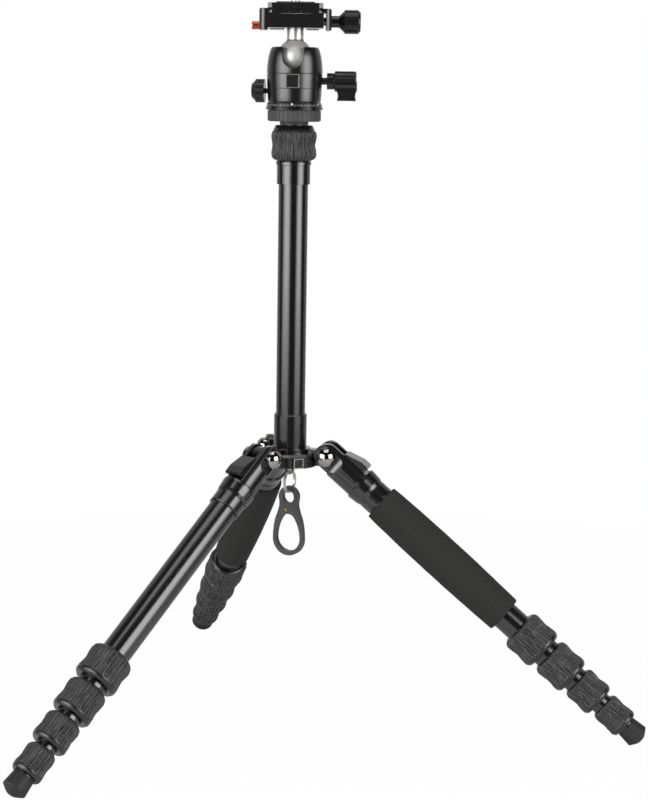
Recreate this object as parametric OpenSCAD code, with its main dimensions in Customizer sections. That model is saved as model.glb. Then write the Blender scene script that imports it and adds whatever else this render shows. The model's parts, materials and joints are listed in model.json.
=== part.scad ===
// Travel tripod with a ball head: three folding five-section legs on a hub, a sliding
// centre column and a quick-release clamp. Millimetres, Z up. The origin is on the
// floor, under the centre of the box round the whole object.

/* [Stance] */
// Angle of each leg from the vertical, as it stands
leg_splay = 50; // [40:1:60]
// Azimuth of the right leg, seen from above
leg_turn = -13.5; // [-20:0.5:0]
// Azimuth of the ball lock knob on its panning base
head_turn = -4.5; // [-20:0.5:20]
// Azimuth of the hanging hook's thin side
hook_turn = -28; // [-60:1:60]

/* [Hub] */
// Distance from the column's axis to each leg's pivot
pivot_r = 30.5; // [30:0.1:33]
// Distance from the column's axis to each flat of the hub
hub_flat_r = 20.4; // [19:0.1:20.4]
// Radius that rounds the hub's corners
hub_corner_r = 21.6; // [21.2:0.1:23]
// Thickness of the hub's plate
hub_h = 10.4; // [8:0.1:10.6]
// Depth of the hub's underside below the pivots
hub_drop = 9; // [8:0.1:9.4]
// Chamfer round the top of the hub's plate
hub_edge = 1.8; // [0.4:0.1:2]
// Diameter of the raised ring that carries the column
boss_d = 31; // [27:0.1:33]
// Height of the raised ring
boss_h = 3; // [2:0.1:4]
// Thickness of each leg lug
lug_w = 9.6; // [7:0.1:10]
// Radius of each leg lug round its pivot
lug_r = 8.2; // [7:0.1:8.3]
// Width and height of the bare badge on the hub's front
badge_w = 8.3; // [4:0.1:10]
// Thickness of the bare badge
badge_t = 0.8; // [0.3:0.1:1.2]
// Leg angles from the vertical that have stop notches
stop_angles = [24, 50, 80];
// Angles from the vertical of the three legs folded up along the column
fold_angles = [172, 178, 178];

/* [Pivot bolts and hook eye] */
// Diameter of each pivot bolt's shank
bolt_d = 5; // [3:0.1:6]
// Diameter of each domed bolt head
dome_d = 14; // [9:0.1:15]
// Height of the straight rim under each dome
dome_rim = 3; // [0.5:0.1:4]
// Height of each dome above its rim
dome_h = 4.2; // [2:0.1:4.5]
// Thickness of the eye that the ring hangs on
eye_t = 2.4; // [1.6:0.1:4]
// Width of the eye
eye_w = 7; // [5:0.1:9]
// Depth of the eye's hole below the hub
eye_drop = 4.3; // [4:0.1:6]
// Diameter of the eye's hole
eye_hole_d = 4.2; // [4:0.1:4.6]

/* [Column] */
// Outer diameter of the fixed column tube
column_d = 22.2; // [20:0.1:22.6]
// Wall of the fixed column tube
column_wall = 1.4; // [0.8:0.1:1.4]
// Length of the fixed tube that shows above the hub's ring
column_len = 216.9; // [150:1:260]
// Diameter of the collars on the fixed tube
collar_d = 25; // [23:0.1:26]
// Length of the collar at the hub
low_collar_len = 26; // [10:1:40]
// Length of the collar under the twist lock
top_collar_len = 17; // [8:1:30]
// Diameter of the rim on top of the upper collar
rim_d = 26.4; // [24:0.1:27]
// Height of the rim
rim_h = 2.7; // [1:0.1:5]
// Outer diameter of the sliding inner column
inner_d = 18.2; // [16:0.1:18.3]
// Wall of the sliding inner column
inner_wall = 1.2; // [0.8:0.1:2]
// Length of the inner column below the platform
inner_len = 216; // [120:1:230]
// Travel of the inner column
column_travel = 170; // [60:1:175]

/* [Column lock] */
// Height of the column's twist lock
nut_len = 26.2; // [20:0.1:34]
// Diameter of the twist lock at its bulges
nut_d = 34; // [30:0.1:36]
// Height of the cone on top of the twist lock
cone_h = 3.6; // [1:0.1:6]
// Diameter of the top of that cone
cone_d = 27.4; // [23:0.1:30]

/* [Platform and panning base] */
// Diameter of the neck under the platform disc
neck_d = 21.2; // [19.2:0.1:26]
// Height of that neck
neck_h = 2.6; // [1:0.1:6]
// Diameter of the ribbed platform disc
disc_d = 39.7; // [32:0.1:42]
// Height of the platform disc
disc_h = 8.6; // [4:0.1:12]
// Number of ribs round the platform disc
disc_ribs = 36; // [16:1:60]
// Diameter of the scale ring's lower edge
scale_d = 43; // [40:0.1:46]
// Diameter of the scale ring's upper edge
scale_top_d = 40; // [38:0.1:44]
// Height of the scale ring
scale_h = 5.2; // [3:0.1:8]
// Diameter of the panning spigot inside the housing
spigot_d = 16; // [12:0.1:20]
// Height of the panning spigot
spigot_h = 8; // [5:0.1:8.4]

/* [Ball head] */
// Height of the head's barrel housing
housing_h = 40.3; // [39:0.1:42]
// Widest diameter of the housing
housing_d = 41.4; // [39:0.1:41.4]
// Height of the ball's centre above the housing's foot
ball_z = 32.8; // [32.5:0.1:34]
// Diameter of the ball
ball_d = 26.8; // [25.5:0.1:27.4]
// Width of the drop notch in the housing's rim
notch_w = 15.8; // [13.6:0.1:16.4]
// Diameter of the ball's neck
stem_d = 12.4; // [10:0.1:12.8]
// Height of the clamp's underside above the ball's centre
stem_len = 21.2; // [20.6:0.1:24]
// Side of the bare square badge on the housing
plaque_w = 10; // [5:0.1:10.2]

/* [Knobs] */
// Height of the ball lock knob's axis above the housing's foot
lock_z = 15.6; // [12:0.1:16]
// Diameter of the ball lock knob's grip
lock_d = 15.2; // [12:0.1:18]
// Length of the ball lock knob's grip
lock_len = 16.2; // [10:0.1:20]
// Distance from the head's axis to the lock knob's collar
lock_start = 24.2; // [22:0.1:27]
// Length of the lock knob's collar
lock_collar_len = 5.4; // [2:0.1:8]
// Reach of the knob's wing from its axis
wing_reach = 14.2; // [9:0.1:16]
// Thickness of the wing
wing_t = 5; // [3:0.1:8]
// Height of the pan knob's axis above the housing's foot
pan_z = 8; // [7.8:0.1:11]
// Diameter of the pan knob
pan_d = 17.3; // [12:0.1:18]
// Length of the pan knob
pan_len = 9.6; // [7:0.1:14]
// Azimuth of the pan knob from the lock knob
pan_turn = 178; // [140:1:180]

/* [Clamp] */
// Width of the clamp's block
block_w = 41.4; // [40:0.1:44]
// Depth of the clamp, front to back
clamp_depth = 38; // [34:0.1:40]
// Height of the clamp's block
block_h = 10.4; // [9.5:0.1:14]
// Width across both jaws' outer faces
jaws_w = 53; // [52:0.1:56]
// Height of the jaws above the block
jaw_rise = 3.5; // [3:0.1:5]
// Drop of the jaws below the block
jaw_drop = 1.7; // [0.5:0.1:2]
// Thickness of the moving jaw
jaw_t = 4; // [3.6:0.1:5.2]
// Travel of the moving jaw
jaw_travel = 3; // [1:0.1:4]
// Height of the clamp screw above the block's foot
screw_z = 5; // [4.6:0.1:5.4]
// Diameter of the clamp screw
screw_d = 6; // [4:0.1:6.4]
// Diameter of the clamp knob
knob_d = 17.4; // [14:0.1:20]
// Length of the clamp knob with its dome
knob_len = 15.8; // [11:0.1:20]
// Length of the bare shaft between jaw and knob
shaft_len = 5.6; // [3:0.1:9]
// Diameter of that shaft
shaft_d = 8.6; // [7:0.1:10]
// Diameter of the safety pin
safety_d = 5.9; // [4:0.1:6.2]
// Length of the safety pin outside the fixed jaw
safety_out = 5.6; // [3:0.1:8]
// Height of the safety pin's axis above the block's foot
safety_z = 1.7; // [1.6:0.1:3]

/* [Quick-release plate] */
// Width of the plate's top
plate_w = 40.6; // [38:0.1:42]
// Depth of the plate, front to back
plate_depth = 39; // [34:0.1:42]
// Height of the plate above the clamp's block
plate_h = 7.4; // [6.6:0.1:10]
// Width across the foot of the plate's dovetail
tail_w = 38; // [36:0.1:38]
// Width across the groove above the dovetail
groove_w = 33.4; // [32:0.1:34]
// Width of the rubber pad on the plate
pad_w = 28; // [20:0.1:34]
// Thickness of the pad
pad_h = 0.8; // [0.5:0.1:2]
// Diameter of the camera screw's thread
thread_d = 6.35; // [6.35:0.01:6.35]
// Height of the camera screw above the pad
thread_out = 2.8; // [2:0.1:5]

/* [Legs] */
// Outer diameters of the five leg tubes, widest first
tube_ds = [22, 19, 16, 13, 10];
// Wall of the leg tubes
tube_wall = 1.1; // [0.8:0.1:1.1]
// Distance from the pivot to the top of the first tube
tube_start = 32; // [31:0.1:36]
// Distance from the pivot to the first twist lock
lock_start_s = 195.3; // [180:0.1:230]
// Lengths of the four twist locks
lock_lens = [24.4, 24, 21.6, 21.2];
// Diameters of the four twist locks at their bulges
lock_ds = [33.4, 30.6, 27.4, 23.3];
// Diameters of the rings under the first three locks, and over the foot
ring_ds = [22.5, 20, 16.6, 16.4];
// Length of each ring
ring_len = 5; // [3:0.1:7]
// Length of the neck between the last lock and the foot
foot_neck = 1; // [0.8:0.1:7]
// Overlap that a fully drawn section keeps
keep_overlap = 26; // [15:1:60]
// Length of the foot
foot_len = 15.4; // [12:0.1:24]
// Widest diameter of the foot
foot_d = 18.6; // [17:0.1:22]

/* [Shoulder] */
// Diameter of the shoulder casting
shoulder_d = 24.8; // [24.4:0.1:25.6]
// Diameter of its flared band
flare_d = 27; // [25:0.1:28]
// Distance from the pivot to the flared band
flare_s = 31.5; // [31:0.1:34]
// Distance from the pivot to the end collar
collar_s = 43.5; // [42:0.1:46]
// Distance from the pivot to the casting's end
shoulder_s = 53.4; // [50:0.1:60]
// Radius of the cheeks round the pivot
cheek_r = 9.6; // [9:0.1:9.6]
// Distance between the cheeks' flat outer faces
cheeks_w = 21; // [18:0.1:21.6]
// Distance from the pivot to the end of the cheeks' flats
ramp_s = 8.9; // [8:0.1:12]
// Radius of the hollow ramp from each flat up to the barrel
ramp_r = 7.5; // [5:0.1:10]

/* [Angle stop] */
// Width of the pull-out angle stop
stop_w = 14.6; // [12:0.1:16]
// Height of the stop's top above the leg's axis
stop_top = 14.7; // [13.8:0.1:15.4]
// Distance from the pivot to the stop's far end
stop_end_s = 29.4; // [27:0.1:29.6]
// Width of the stop's nose, along the leg's turn
nose_w = 2.2; // [1.6:0.1:2.4]
// Travel of the stop into a notch
stop_drop = 2.2; // [1.2:0.1:2.2]
// Travel of the stop when pulled
stop_pull = 2; // [1:0.1:2]

/* [Foam grips] */
// Widest diameter of each foam grip
foam_d = 31.3; // [28:0.1:33]
// Length of each foam grip
foam_len = 125.8; // [60:1:135]

/* [Hook] */
// Outer diameter of the split ring
split_d = 18; // [15:0.1:22]
// Thickness of one turn of the split ring, across its plane
split_t = 0.9; // [0.6:0.1:1.2]
// Radial width of the split ring's wire
split_w = 1.5; // [1:0.1:2]
// Thickness of the hook's body
hook_t = 4.5; // [3.6:0.1:6]
// Outer diameter of the hook's upper eye
hook_eye_d = 16.4; // [14:0.1:18]
// Hole of the hook's upper eye
hook_hole_d = 9.8; // [8:0.1:10.4]
// Outer diameter of the hook's lower bow
bow_d = 25.8; // [22:0.1:30]
// Distance between the centres of the eye and the bow
bow_drop = 33; // [28:0.1:40]
// Half width of the bow's opening that the open gate leaves free
pear_r = 6.2; // [4:0.1:7]

/* [Fits] */
// Radial clearance of pins and shafts that turn
pin_gap = 0.05; // [0.02:0.01:0.1]
// Clearance between faces that move past each other
face_gap = 0.3; // [0.2:0.05:0.4]

/* [Hidden] */
LEGS = ["right", "rear", "left"];
GRIPPED = ["right", "rear"];
LEG_PARTS = [
    "shoulder", "angle_stop", "tube_1", "tube_2", "tube_3", "tube_4", "tube_5",
    "lock_1", "lock_2", "lock_3", "lock_4", "foot"
];
$fn = 96;
black = [0.09, 0.09, 0.1];
rubber = [0.2, 0.2, 0.21];
satin = [0.72, 0.72, 0.7];
chrome = [0.55, 0.53, 0.52];
foam_black = [0.15, 0.15, 0.16];
anodised = [0.28, 0.28, 0.3];
safety_red = [0.75, 0.25, 0.17];

// Overrun of every cut past the face that it opens
cut = 1;
// Small step that keeps touching faces of one piece joined
bite = 0.4;
// Depth of the fine grooves turned in collars and housing
score = 0.3;
// Length of a small chamfer on turned ends
edge = 0.5;
// Height of the ribs on the knobs
rib = 0.5;

// Outlines of the turned pieces: each row has the share of the length and the share
// of the widest radius
nut_shares = [[0, 0.76], [0.03, 0.84], [0.09, 0.95], [0.18, 0.995], [0.3, 0.99],
              [0.5, 0.95], [0.7, 0.985], [0.8, 1], [0.92, 0.98], [1, 0.88]];
foam_shares = [[0, 0.9], [0.008, 0.93], [0.08, 0.955], [0.3, 0.993], [0.45, 1],
               [0.65, 0.995], [0.88, 0.955], [0.99, 0.93], [1, 0.9]];
housing_shares = [[0, 0.93], [0.02, 0.95], [0.2, 0.975], [0.5, 1], [0.66, 0.99],
                  [0.8, 0.955], [0.9, 0.91], [0.96, 0.87], [0.99, 0.83], [1, 0.78]];
foot_shares = [[0, 0.87], [0.06, 0.89], [0.35, 0.935], [0.68, 0.99], [0.73, 1],
               [0.77, 0.95], [0.92, 0.6], [1, 0.36]];

// Half a tube's diameter
function tube_r(i) = tube_ds[i] / 2;
// Start of each lock along the leg, and the end of the last ring
function lock_s(i) = i == 0 ? lock_start_s : lock_s(i - 1) + lock_lens[i - 1] + ring_len;
function lock_end(i) = lock_s(i) + lock_lens[i];
foot_s = lock_end(3) + foot_neck;
// Each tube's top inside the tube above it, and its end inside its own lock
tube_step = 2;
function tube_top(i) = tube_start + i * tube_step;
nut_lip = 4;
foot_bore = foot_len / 2;
function tube_end(i) = i == 4 ? foot_s + foot_bore : lock_end(i) - nut_lip;
function section_travel(i) = tube_end(i) - keep_overlap - tube_top(i + 1);

// Height of the pivots, from the lowest point of the splayed foot
function foot_low(p) =
    (foot_s + p[0] * foot_len) * cos(leg_splay) + p[1] * foot_d / 2 * sin(leg_splay);
pivot_z = max([for (p = foot_shares) foot_low(p)]);

// Furthest reach of one leg's foot from the column, along the direction at azimuth a
function foot_reach(k, a) =
    let (t = cos(leg_turn + 120 * k - a), d = t * sin(leg_splay))
    max([for (p = foot_shares)
         pivot_r * t + (foot_s + p[0] * foot_len) * d
         + p[1] * foot_d / 2 * sqrt(1 - d * d)]);
function reach(a) = max([for (k = [0:2]) foot_reach(k, a)]);
column_x = (reach(180) - reach(0)) / 2;
column_y = (reach(270) - reach(90)) / 2;

// Heights up the column, from the hub's pivots
boss_z = hub_h - hub_drop + boss_h;
nut_z = boss_z + column_len;
neck_z = nut_z + nut_len + face_gap;
disc_z = neck_z + neck_h;
scale_z = disc_z + disc_h;
housing_z = scale_z + scale_h + face_gap;
ball_h = housing_z + ball_z;
block_z = ball_h + stem_len;
block_top = block_z + block_h;
plate_z = block_top + face_gap / 2;
plate_top = plate_z + plate_h;
pad_top = plate_top + pad_h;
jaw_top = block_top + jaw_rise;

// Smooth curve through a list of points, with n steps between each pair
function bend(a, b, c, d, t) =
    (2 * b + (c - a) * t + (2 * a - 5 * b + 4 * c - d) * t * t
     + (3 * b - a - 3 * c + d) * t * t * t) / 2;
function curve(p, n) = concat(
    [for (i = [0:len(p) - 2]) for (j = [0:n - 1])
        bend(p[max(i - 1, 0)], p[i], p[i + 1], p[min(i + 2, len(p) - 1)], j / n)],
    [p[len(p) - 1]]);

// Turned solid with a curved outline, a widest radius r, a length h and a bore
module turned(shares, r, h, bore_r, n = 3) {
    outline = [for (p = curve(shares, n)) [p[1] * r, p[0] * h]];
    rotate_extrude() polygon(concat([[bore_r, 0]], outline, [[bore_r, h]]));
}

// Ribbed bar: a circle with straight grooves, r outside and depth t
module ribbed(r, h, t, ribs) {
    linear_extrude(h) polygon([for (i = [0:ribs - 1]) for (q = [[0, 1], [0.5, 1], [0.6, 0], [0.9, 0]])
        (r - t * (1 - q[1])) * [cos(360 * (i + q[0]) / ribs), sin(360 * (i + q[0]) / ribs)]]);
}

// Tube along Z from z0 to z1
module pipe(r, bore_r, z0, z1) {
    translate([0, 0, z0]) difference() {
        cylinder(h = z1 - z0, r = r);
        translate([0, 0, -cut]) cylinder(h = z1 - z0 + 2 * cut, r = bore_r);
    }
}

// Places a piece on the column's axis at the height of the pivots
module on_column() {
    translate([column_x, column_y, pivot_z]) children();
}

// Places a piece in the turned head's own frame
module on_head() {
    on_column() rotate([0, 0, head_turn]) children();
}

// Places a piece on a leg: Z runs down the leg, X is its upper side, Y its width
module on_leg(k) {
    on_column() rotate([0, 0, leg_turn + 120 * k]) translate([pivot_r, 0, 0])
        rotate([0, 180 - leg_splay, 0]) rotate([0, 0, 180]) children();
}

// Places a piece in the hanging hook's frame: Y is the axis of its eye
module on_hook() {
    on_column() rotate([0, 0, hook_turn]) children();
}

// Bore along Y at x, z
module cross_bore(r, w) {
    rotate([90, 0, 0]) translate([0, 0, -w / 2]) cylinder(h = w, r = r);
}

module hub() {
    plate_top_z = hub_h - hub_drop;
    badge_foot = (hub_h - hub_edge - badge_w) / 2;
    color(black) on_column() rotate([0, 0, leg_turn]) difference() {
        union() {
            // Hexagonal plate with rounded, chamfered corners
            intersection() {
                rotate([0, 0, 30]) translate([0, 0, -hub_drop]) {
                    cylinder(h = hub_h - hub_edge, r = hub_flat_r / cos(30), $fn = 6);
                    translate([0, 0, hub_h - hub_edge]) cylinder(h = hub_edge,
                        r1 = hub_flat_r / cos(30), r2 = (hub_flat_r - hub_edge) / cos(30), $fn = 6);
                }
                translate([0, 0, -hub_drop]) rotate_extrude() polygon([
                    [0, 0], [hub_corner_r - edge, 0], [hub_corner_r, edge],
                    [hub_corner_r, hub_h - hub_edge], [hub_corner_r - hub_edge, hub_h],
                    [0, hub_h]]);
            }
            // Ring that the column stands in
            translate([0, 0, plate_top_z - bite]) cylinder(h = boss_h + bite, r = boss_d / 2);
            // Lugs
            for (k = [0:2]) rotate([0, 0, 120 * k]) lug();
            // Bare badge on the front flat
            rotate([0, 0, -60]) translate([hub_flat_r - bite, -badge_w / 2, -hub_drop + badge_foot])
                cube([badge_t + bite, badge_w, badge_w]);
        }
        translate([0, 0, -hub_drop - cut])
            cylinder(h = hub_h + boss_h + 2 * cut, r = column_d / 2 + pin_gap);
        for (k = [0:2]) rotate([0, 0, 120 * k]) translate([pivot_r, 0, 0]) {
            cross_bore(bolt_d / 2 + pin_gap, lug_w + 2 * cut);
            stop_notches(concat(stop_angles, fold_angles[k]));
        }
    }
}

// Flat lug that a leg's cheeks straddle
module lug() {
    rotate([90, 0, 0]) translate([0, 0, -lug_w / 2]) linear_extrude(lug_w) union() {
        translate([pivot_r, 0]) circle(r = lug_r);
        polygon([[boss_d / 2 - bite, -hub_drop + edge], [hub_flat_r, -hub_drop + edge],
                 [pivot_r, -lug_r + edge], [pivot_r, lug_r - 2 * edge],
                 [hub_flat_r, boss_z - edge], [boss_d / 2 - bite, boss_z - edge]]);
    }
}

// Notches in a lug's rim, one for each leg angle
nose_x = 3;
nose_s = 8.8;
module stop_notches(angles) {
    floor_s = nose_s - stop_drop - face_gap;
    for (a = angles) rotate([0, 180 - a, 0]) rotate([0, 0, 180])
        translate([nose_x - face_gap, -lug_w / 2 - cut, floor_s])
            cube([nose_w + 2 * face_gap, lug_w + 2 * cut, lug_r]);
}

module column_tube() {
    r = column_d / 2;
    color(black) on_column() {
        pipe(r, r - column_wall, -hub_drop + eye_t, nut_z + nut_len - cone_h - nut_lip);
        collar(boss_z, low_collar_len, collar_d / 2, false);
        collar(nut_z - face_gap - top_collar_len, top_collar_len, collar_d / 2, true);
    }
}

// Collar pressed on the fixed tube, with an optional rim and groove at its top
module collar(z, h, r, rimmed) {
    b = column_d / 2;
    top = rimmed ? [[r, h - rim_h - edge], [r - score, h - rim_h - edge],
                    [r - score, h - rim_h], [rim_d / 2, h - rim_h],
                    [rim_d / 2, h - edge], [rim_d / 2 - edge, h]]
                 : [[r, h - edge], [r - edge, h]];
    translate([0, 0, z]) rotate_extrude()
        polygon(concat([[b, 0], [r, 0]], top, [[b, h]]));
}

module hub_fasteners() {
    color(chrome) {
        for (k = [0:2]) on_column() rotate([0, 0, leg_turn + 120 * k])
            translate([pivot_r, 0, 0]) pivot_bolt();
        on_hook() hook_eye();
    }
}

// Bolt through lug and cheeks, with a dome at each end
module pivot_bolt() {
    half = cheeks_w / 2 + face_gap;
    sphere_r = (dome_d * dome_d / 4 + dome_h * dome_h) / (2 * dome_h);
    cross_bore(bolt_d / 2, 2 * half + bite);
    for (s = [90, -90]) rotate([s, 0, 0]) translate([0, 0, half]) intersection() {
        translate([0, 0, dome_rim + dome_h - sphere_r]) sphere(r = sphere_r);
        cylinder(h = dome_rim + dome_h, r = dome_d / 2);
    }
}

// Plug under the tube's foot, with the flat eye that the split ring hangs on
module hook_eye() {
    plug_r = column_d / 2 - column_wall - pin_gap;
    translate([0, 0, -hub_drop]) {
        cylinder(h = eye_t, r = column_d / 2);
        cylinder(h = 2 * eye_t, r = plug_r);
        rotate([90, 0, 0]) translate([0, 0, -eye_t / 2]) linear_extrude(eye_t) difference() {
            union() {
                translate([0, -eye_drop]) circle(r = eye_w / 2);
                translate([-eye_w / 2, -eye_drop]) square([eye_w, eye_drop + bite]);
            }
            translate([0, -eye_drop]) circle(r = eye_hole_d / 2);
        }
    }
}

module column_lock() {
    cut_z = nut_len - cone_h;
    bore = column_d / 2 + face_gap;
    color(rubber) on_column() translate([0, 0, nut_z]) difference() {
        union() {
            turned(nut_shares, nut_d / 2, cut_z, 0);
            translate([0, 0, cut_z - bite]) cylinder(h = cone_h + bite,
                r1 = nut_d / 2 * nut_shares[9][1] + edge, r2 = cone_d / 2);
        }
        translate([0, 0, -cut]) cylinder(h = cut_z - nut_lip + face_gap + cut, r = bore);
        translate([0, 0, -cut]) cylinder(h = nut_len + 2 * cut, r = inner_d / 2 + face_gap);
    }
}

module inner_column() {
    r = inner_d / 2;
    color(black) on_column() pipe(r, r - inner_wall, neck_z - inner_len, disc_z);
}

module platform_disc() {
    core = disc_d / 2 - rib;
    color(rubber) on_column() difference() {
        union() {
            translate([0, 0, neck_z]) cylinder(h = neck_h + bite, r = neck_d / 2);
            translate([0, 0, disc_z]) cylinder(h = disc_h, r = core - edge);
            translate([0, 0, disc_z + edge]) ribbed(disc_d / 2, disc_h - 2 * edge, rib, disc_ribs);
        }
        translate([0, 0, neck_z - cut]) cylinder(h = neck_h + cut, r = inner_d / 2);
    }
}

module pan_base() {
    color(black) on_column() {
        translate([0, 0, scale_z])
            cylinder(h = scale_h, r1 = scale_d / 2, r2 = scale_top_d / 2);
        translate([0, 0, scale_z + scale_h]) cylinder(h = spigot_h + face_gap, r = spigot_d / 2);
    }
}

module head_housing() {
    r = housing_d / 2;
    seat_r = ball_d / 2 * cos(30);
    color(black) on_head() translate([0, 0, housing_z]) {
        difference() {
            union() {
                turned(housing_shares, r, housing_h, 0, 4);
                // Bare square badge on the front
                rotate([90, 0, 0]) translate([-plaque_w / 2, lock_z - plaque_w / 2, r - cut])
                    cube([plaque_w, plaque_w, cut + face_gap / 2]);
            }
            // Ball socket, the seat's bore and the socket's chamfered mouth
            translate([0, 0, ball_z]) sphere(r = ball_d / 2 + face_gap);
            translate([0, 0, seat_floor]) cylinder(h = ball_z - seat_floor, r = seat_r);
            translate([0, 0, housing_h - mouth_h])
                cylinder(h = mouth_h + cut, r1 = mouth_r, r2 = mouth_r + mouth_h + cut);
            // Drop notch for the neck
            translate([0, 0, ball_z]) {
                rotate([90, 0, 0]) cylinder(h = r + cut, r = notch_w / 2);
                translate([-notch_w / 2, -r - cut, 0]) cube([notch_w, r + cut, housing_h]);
            }
            // Panning spigot and the two screw bores
            translate([0, 0, -cut]) cylinder(h = spigot_h + face_gap + cut, r = spigot_d / 2 + pin_gap);
            translate([0, 0, lock_z]) rotate([0, 90, 0]) cylinder(h = r + cut, r = stud_r + pin_gap);
            translate([0, 0, pan_z]) rotate([0, 0, pan_turn]) rotate([0, 90, 0])
                translate([0, 0, pan_stud_in]) cylinder(h = r + cut, r = pan_stud_r + pin_gap);
            // Fine grooves round the housing
            for (z = [lock_z - plaque_w / 2 - edge, lock_z + plaque_w / 2 + edge])
                groove(z, r, score);
        }
        // Ball seat, a loose ring under the ball
        difference() {
            translate([0, 0, seat_floor + pin_gap]) cylinder(h = seat_h, r = seat_r - pin_gap);
            translate([0, 0, ball_z]) sphere(r = ball_d / 2 + face_gap);
            translate([0, 0, seat_floor - cut]) cylinder(h = seat_h + 2 * cut, r = seat_r / 2);
        }
    }
}
mouth_h = 1.8;
mouth_r = sqrt(pow(ball_d / 2 + face_gap, 2) - pow(housing_h - mouth_h - ball_z, 2));
stud_r = 2.6;
pan_stud_r = 2;
pan_stud_in = 12;
seat_floor = 19.5;
seat_h = 5.4;

// Fine groove of depth d round a turned piece of radius r at height z
module groove(z, r, d) {
    translate([0, 0, z - d / 2]) difference() {
        cylinder(h = d, r = r + cut);
        translate([0, 0, -cut]) cylinder(h = d + 2 * cut, r = r - 2 * d);
    }
}

module lock_knob() {
    color(black) on_head() translate([0, 0, housing_z + lock_z]) rotate([0, 90, 0])
        translate([0, 0, lock_start]) {
            translate([0, 0, -lock_start + spigot_d / 2]) cylinder(h = lock_start, r = stud_r);
            cylinder(h = lock_collar_len, r = lock_d / 2 * collar_share);
            translate([0, 0, lock_collar_len - bite])
                cylinder(h = edge + bite, r1 = lock_d / 2 * collar_share, r2 = lock_d / 2 - rib);
            translate([0, 0, lock_collar_len + edge])
                ribbed(lock_d / 2, lock_len - 2 * edge, 2 * rib, grip_ribs);
            translate([0, 0, lock_collar_len + lock_len - edge - bite])
                cylinder(h = edge + bite, r = lock_d / 2 - 2 * rib);
            // Wing, which hangs straight down, hollowed at both ends
            difference() {
                translate([0, -wing_t / 2, lock_collar_len + 3 * edge])
                    cube([wing_reach, wing_t, lock_len - 2 * edge]);
                for (z = [lock_collar_len + 3 * edge + waist_in - waist_r,
                          lock_collar_len + lock_len + edge - waist_in + waist_r])
                    translate([(lock_d / 2 + wing_reach) / 2, 0, z]) cross_bore(waist_r, wing_t + 2 * cut);
            }
        }
}

module pan_knob() {
    start = housing_d / 2 + 3 * edge;
    color(black) on_head() translate([0, 0, housing_z + pan_z]) rotate([0, 0, pan_turn])
        rotate([0, 90, 0]) {
            translate([0, 0, pan_stud_in + face_gap])
                cylinder(h = start - pan_stud_in, r = pan_stud_r);
            translate([0, 0, start]) ribbed(pan_d / 2, pan_len - dish, rib, knob_ribs);
            translate([0, 0, start + pan_len - dish])
                cylinder(h = dish, r1 = pan_d / 2 - rib, r2 = pan_d / 2 - dish - rib);
        }
}
dish = 3;
collar_share = 0.8;
grip_ribs = 10;
knob_ribs = 24;
waist_r = 8;
waist_in = 1.2;

module ball() {
    color(satin) on_column() translate([0, 0, ball_h]) sphere(r = ball_d / 2);
}

module ball_neck() {
    flare = 1.4;
    color(satin) on_column() translate([0, 0, ball_h]) difference() {
        union() {
            cylinder(h = stem_len + stem_in, r = stem_d / 2);
            translate([0, 0, ball_d / 2 * cos(30)])
                cylinder(h = flare, r1 = stem_d / 2 + flare / 2, r2 = stem_d / 2);
        }
        sphere(r = ball_d / 2 + pin_gap);
    }
}
stem_in = 4.6;

module clamp_body() {
    jw = (jaws_w - block_w) / 2;
    color(black) on_column() difference() {
        union() {
            // Block with the neck's socket
            translate([-block_w / 2, -clamp_depth / 2, block_z])
                cube([block_w, clamp_depth, block_h]);
            // Fixed jaw with its dovetail lip
            intersection() {
                rotate([90, 0, 0]) translate([0, 0, -clamp_depth / 2]) linear_extrude(clamp_depth)
                    jaw_outline(-1, block_z - jaw_drop, -block_w / 2 + bite, 0);
                rounded_plan();
            }
        }
        translate([0, 0, block_z - cut]) cylinder(h = stem_in + face_gap + cut, r = stem_d / 2 + pin_gap);
        // Clamp screw and guide rod bores
        translate([block_w / 2 - screw_in, 0, block_z + screw_z]) rotate([0, 90, 0])
            cylinder(h = screw_in + cut, r = screw_d / 2 + pin_gap);
        for (y = [-rod_y, rod_y]) translate([block_w / 2 - screw_in, y, block_z + screw_z])
            rotate([0, 90, 0]) cylinder(h = screw_in + cut, r = rod_r + pin_gap);
        // Safety pin bores, the wide one through the jaw only
        translate([-jaws_w / 2 - cut, 0, block_z + safety_z]) rotate([0, 90, 0]) {
            cylinder(h = jw + cut - bite, r = safety_d / 2 + pin_gap);
            cylinder(h = jw + safety_in + cut, r = safety_r + pin_gap);
        }
    }
}
screw_in = 12;
rod_y = 12;
rod_r = 1.5;
safety_in = 6;
safety_r = 1.5;

// Plan of the clamp with its rounded corners, as high as the jaws
module rounded_plan() {
    x = jaws_w / 2 - corner_r;
    y = clamp_depth / 2 - corner_r;
    translate([0, 0, block_z - jaw_drop - cut])
        linear_extrude(jaw_top - block_z + jaw_drop + 2 * cut) union() {
            translate([-x, -clamp_depth / 2]) square([2 * x, clamp_depth]);
            translate([-jaws_w / 2, -y]) square([jaws_w, 2 * y]);
            for (i = [-x, x]) for (j = [-y, y]) translate([i, j]) circle(r = corner_r);
        }
}
corner_r = 4.5;

// Outline of a jaw in the XZ plane: side is -1 at the left, x_in its inner face and
// lift the gap under its lip
module jaw_outline(side, foot_z, x_in, lift) {
    lip_z = jaw_top - lip_h;
    out = side * jaws_w / 2;
    tail = side * (tail_w / 2 + face_gap);
    tip = side * (groove_w / 2 + face_gap);
    polygon([[x_in, foot_z], [out - side * edge, foot_z], [out, foot_z + edge],
             [out, jaw_top - 2 * edge], [out - side * 2 * edge, jaw_top], [tip, jaw_top],
             [tip, jaw_top - edge], [tail, lip_z], [tail, block_top + lift], [x_in, block_top + lift]]);
}
lip_h = 2.2;

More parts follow.
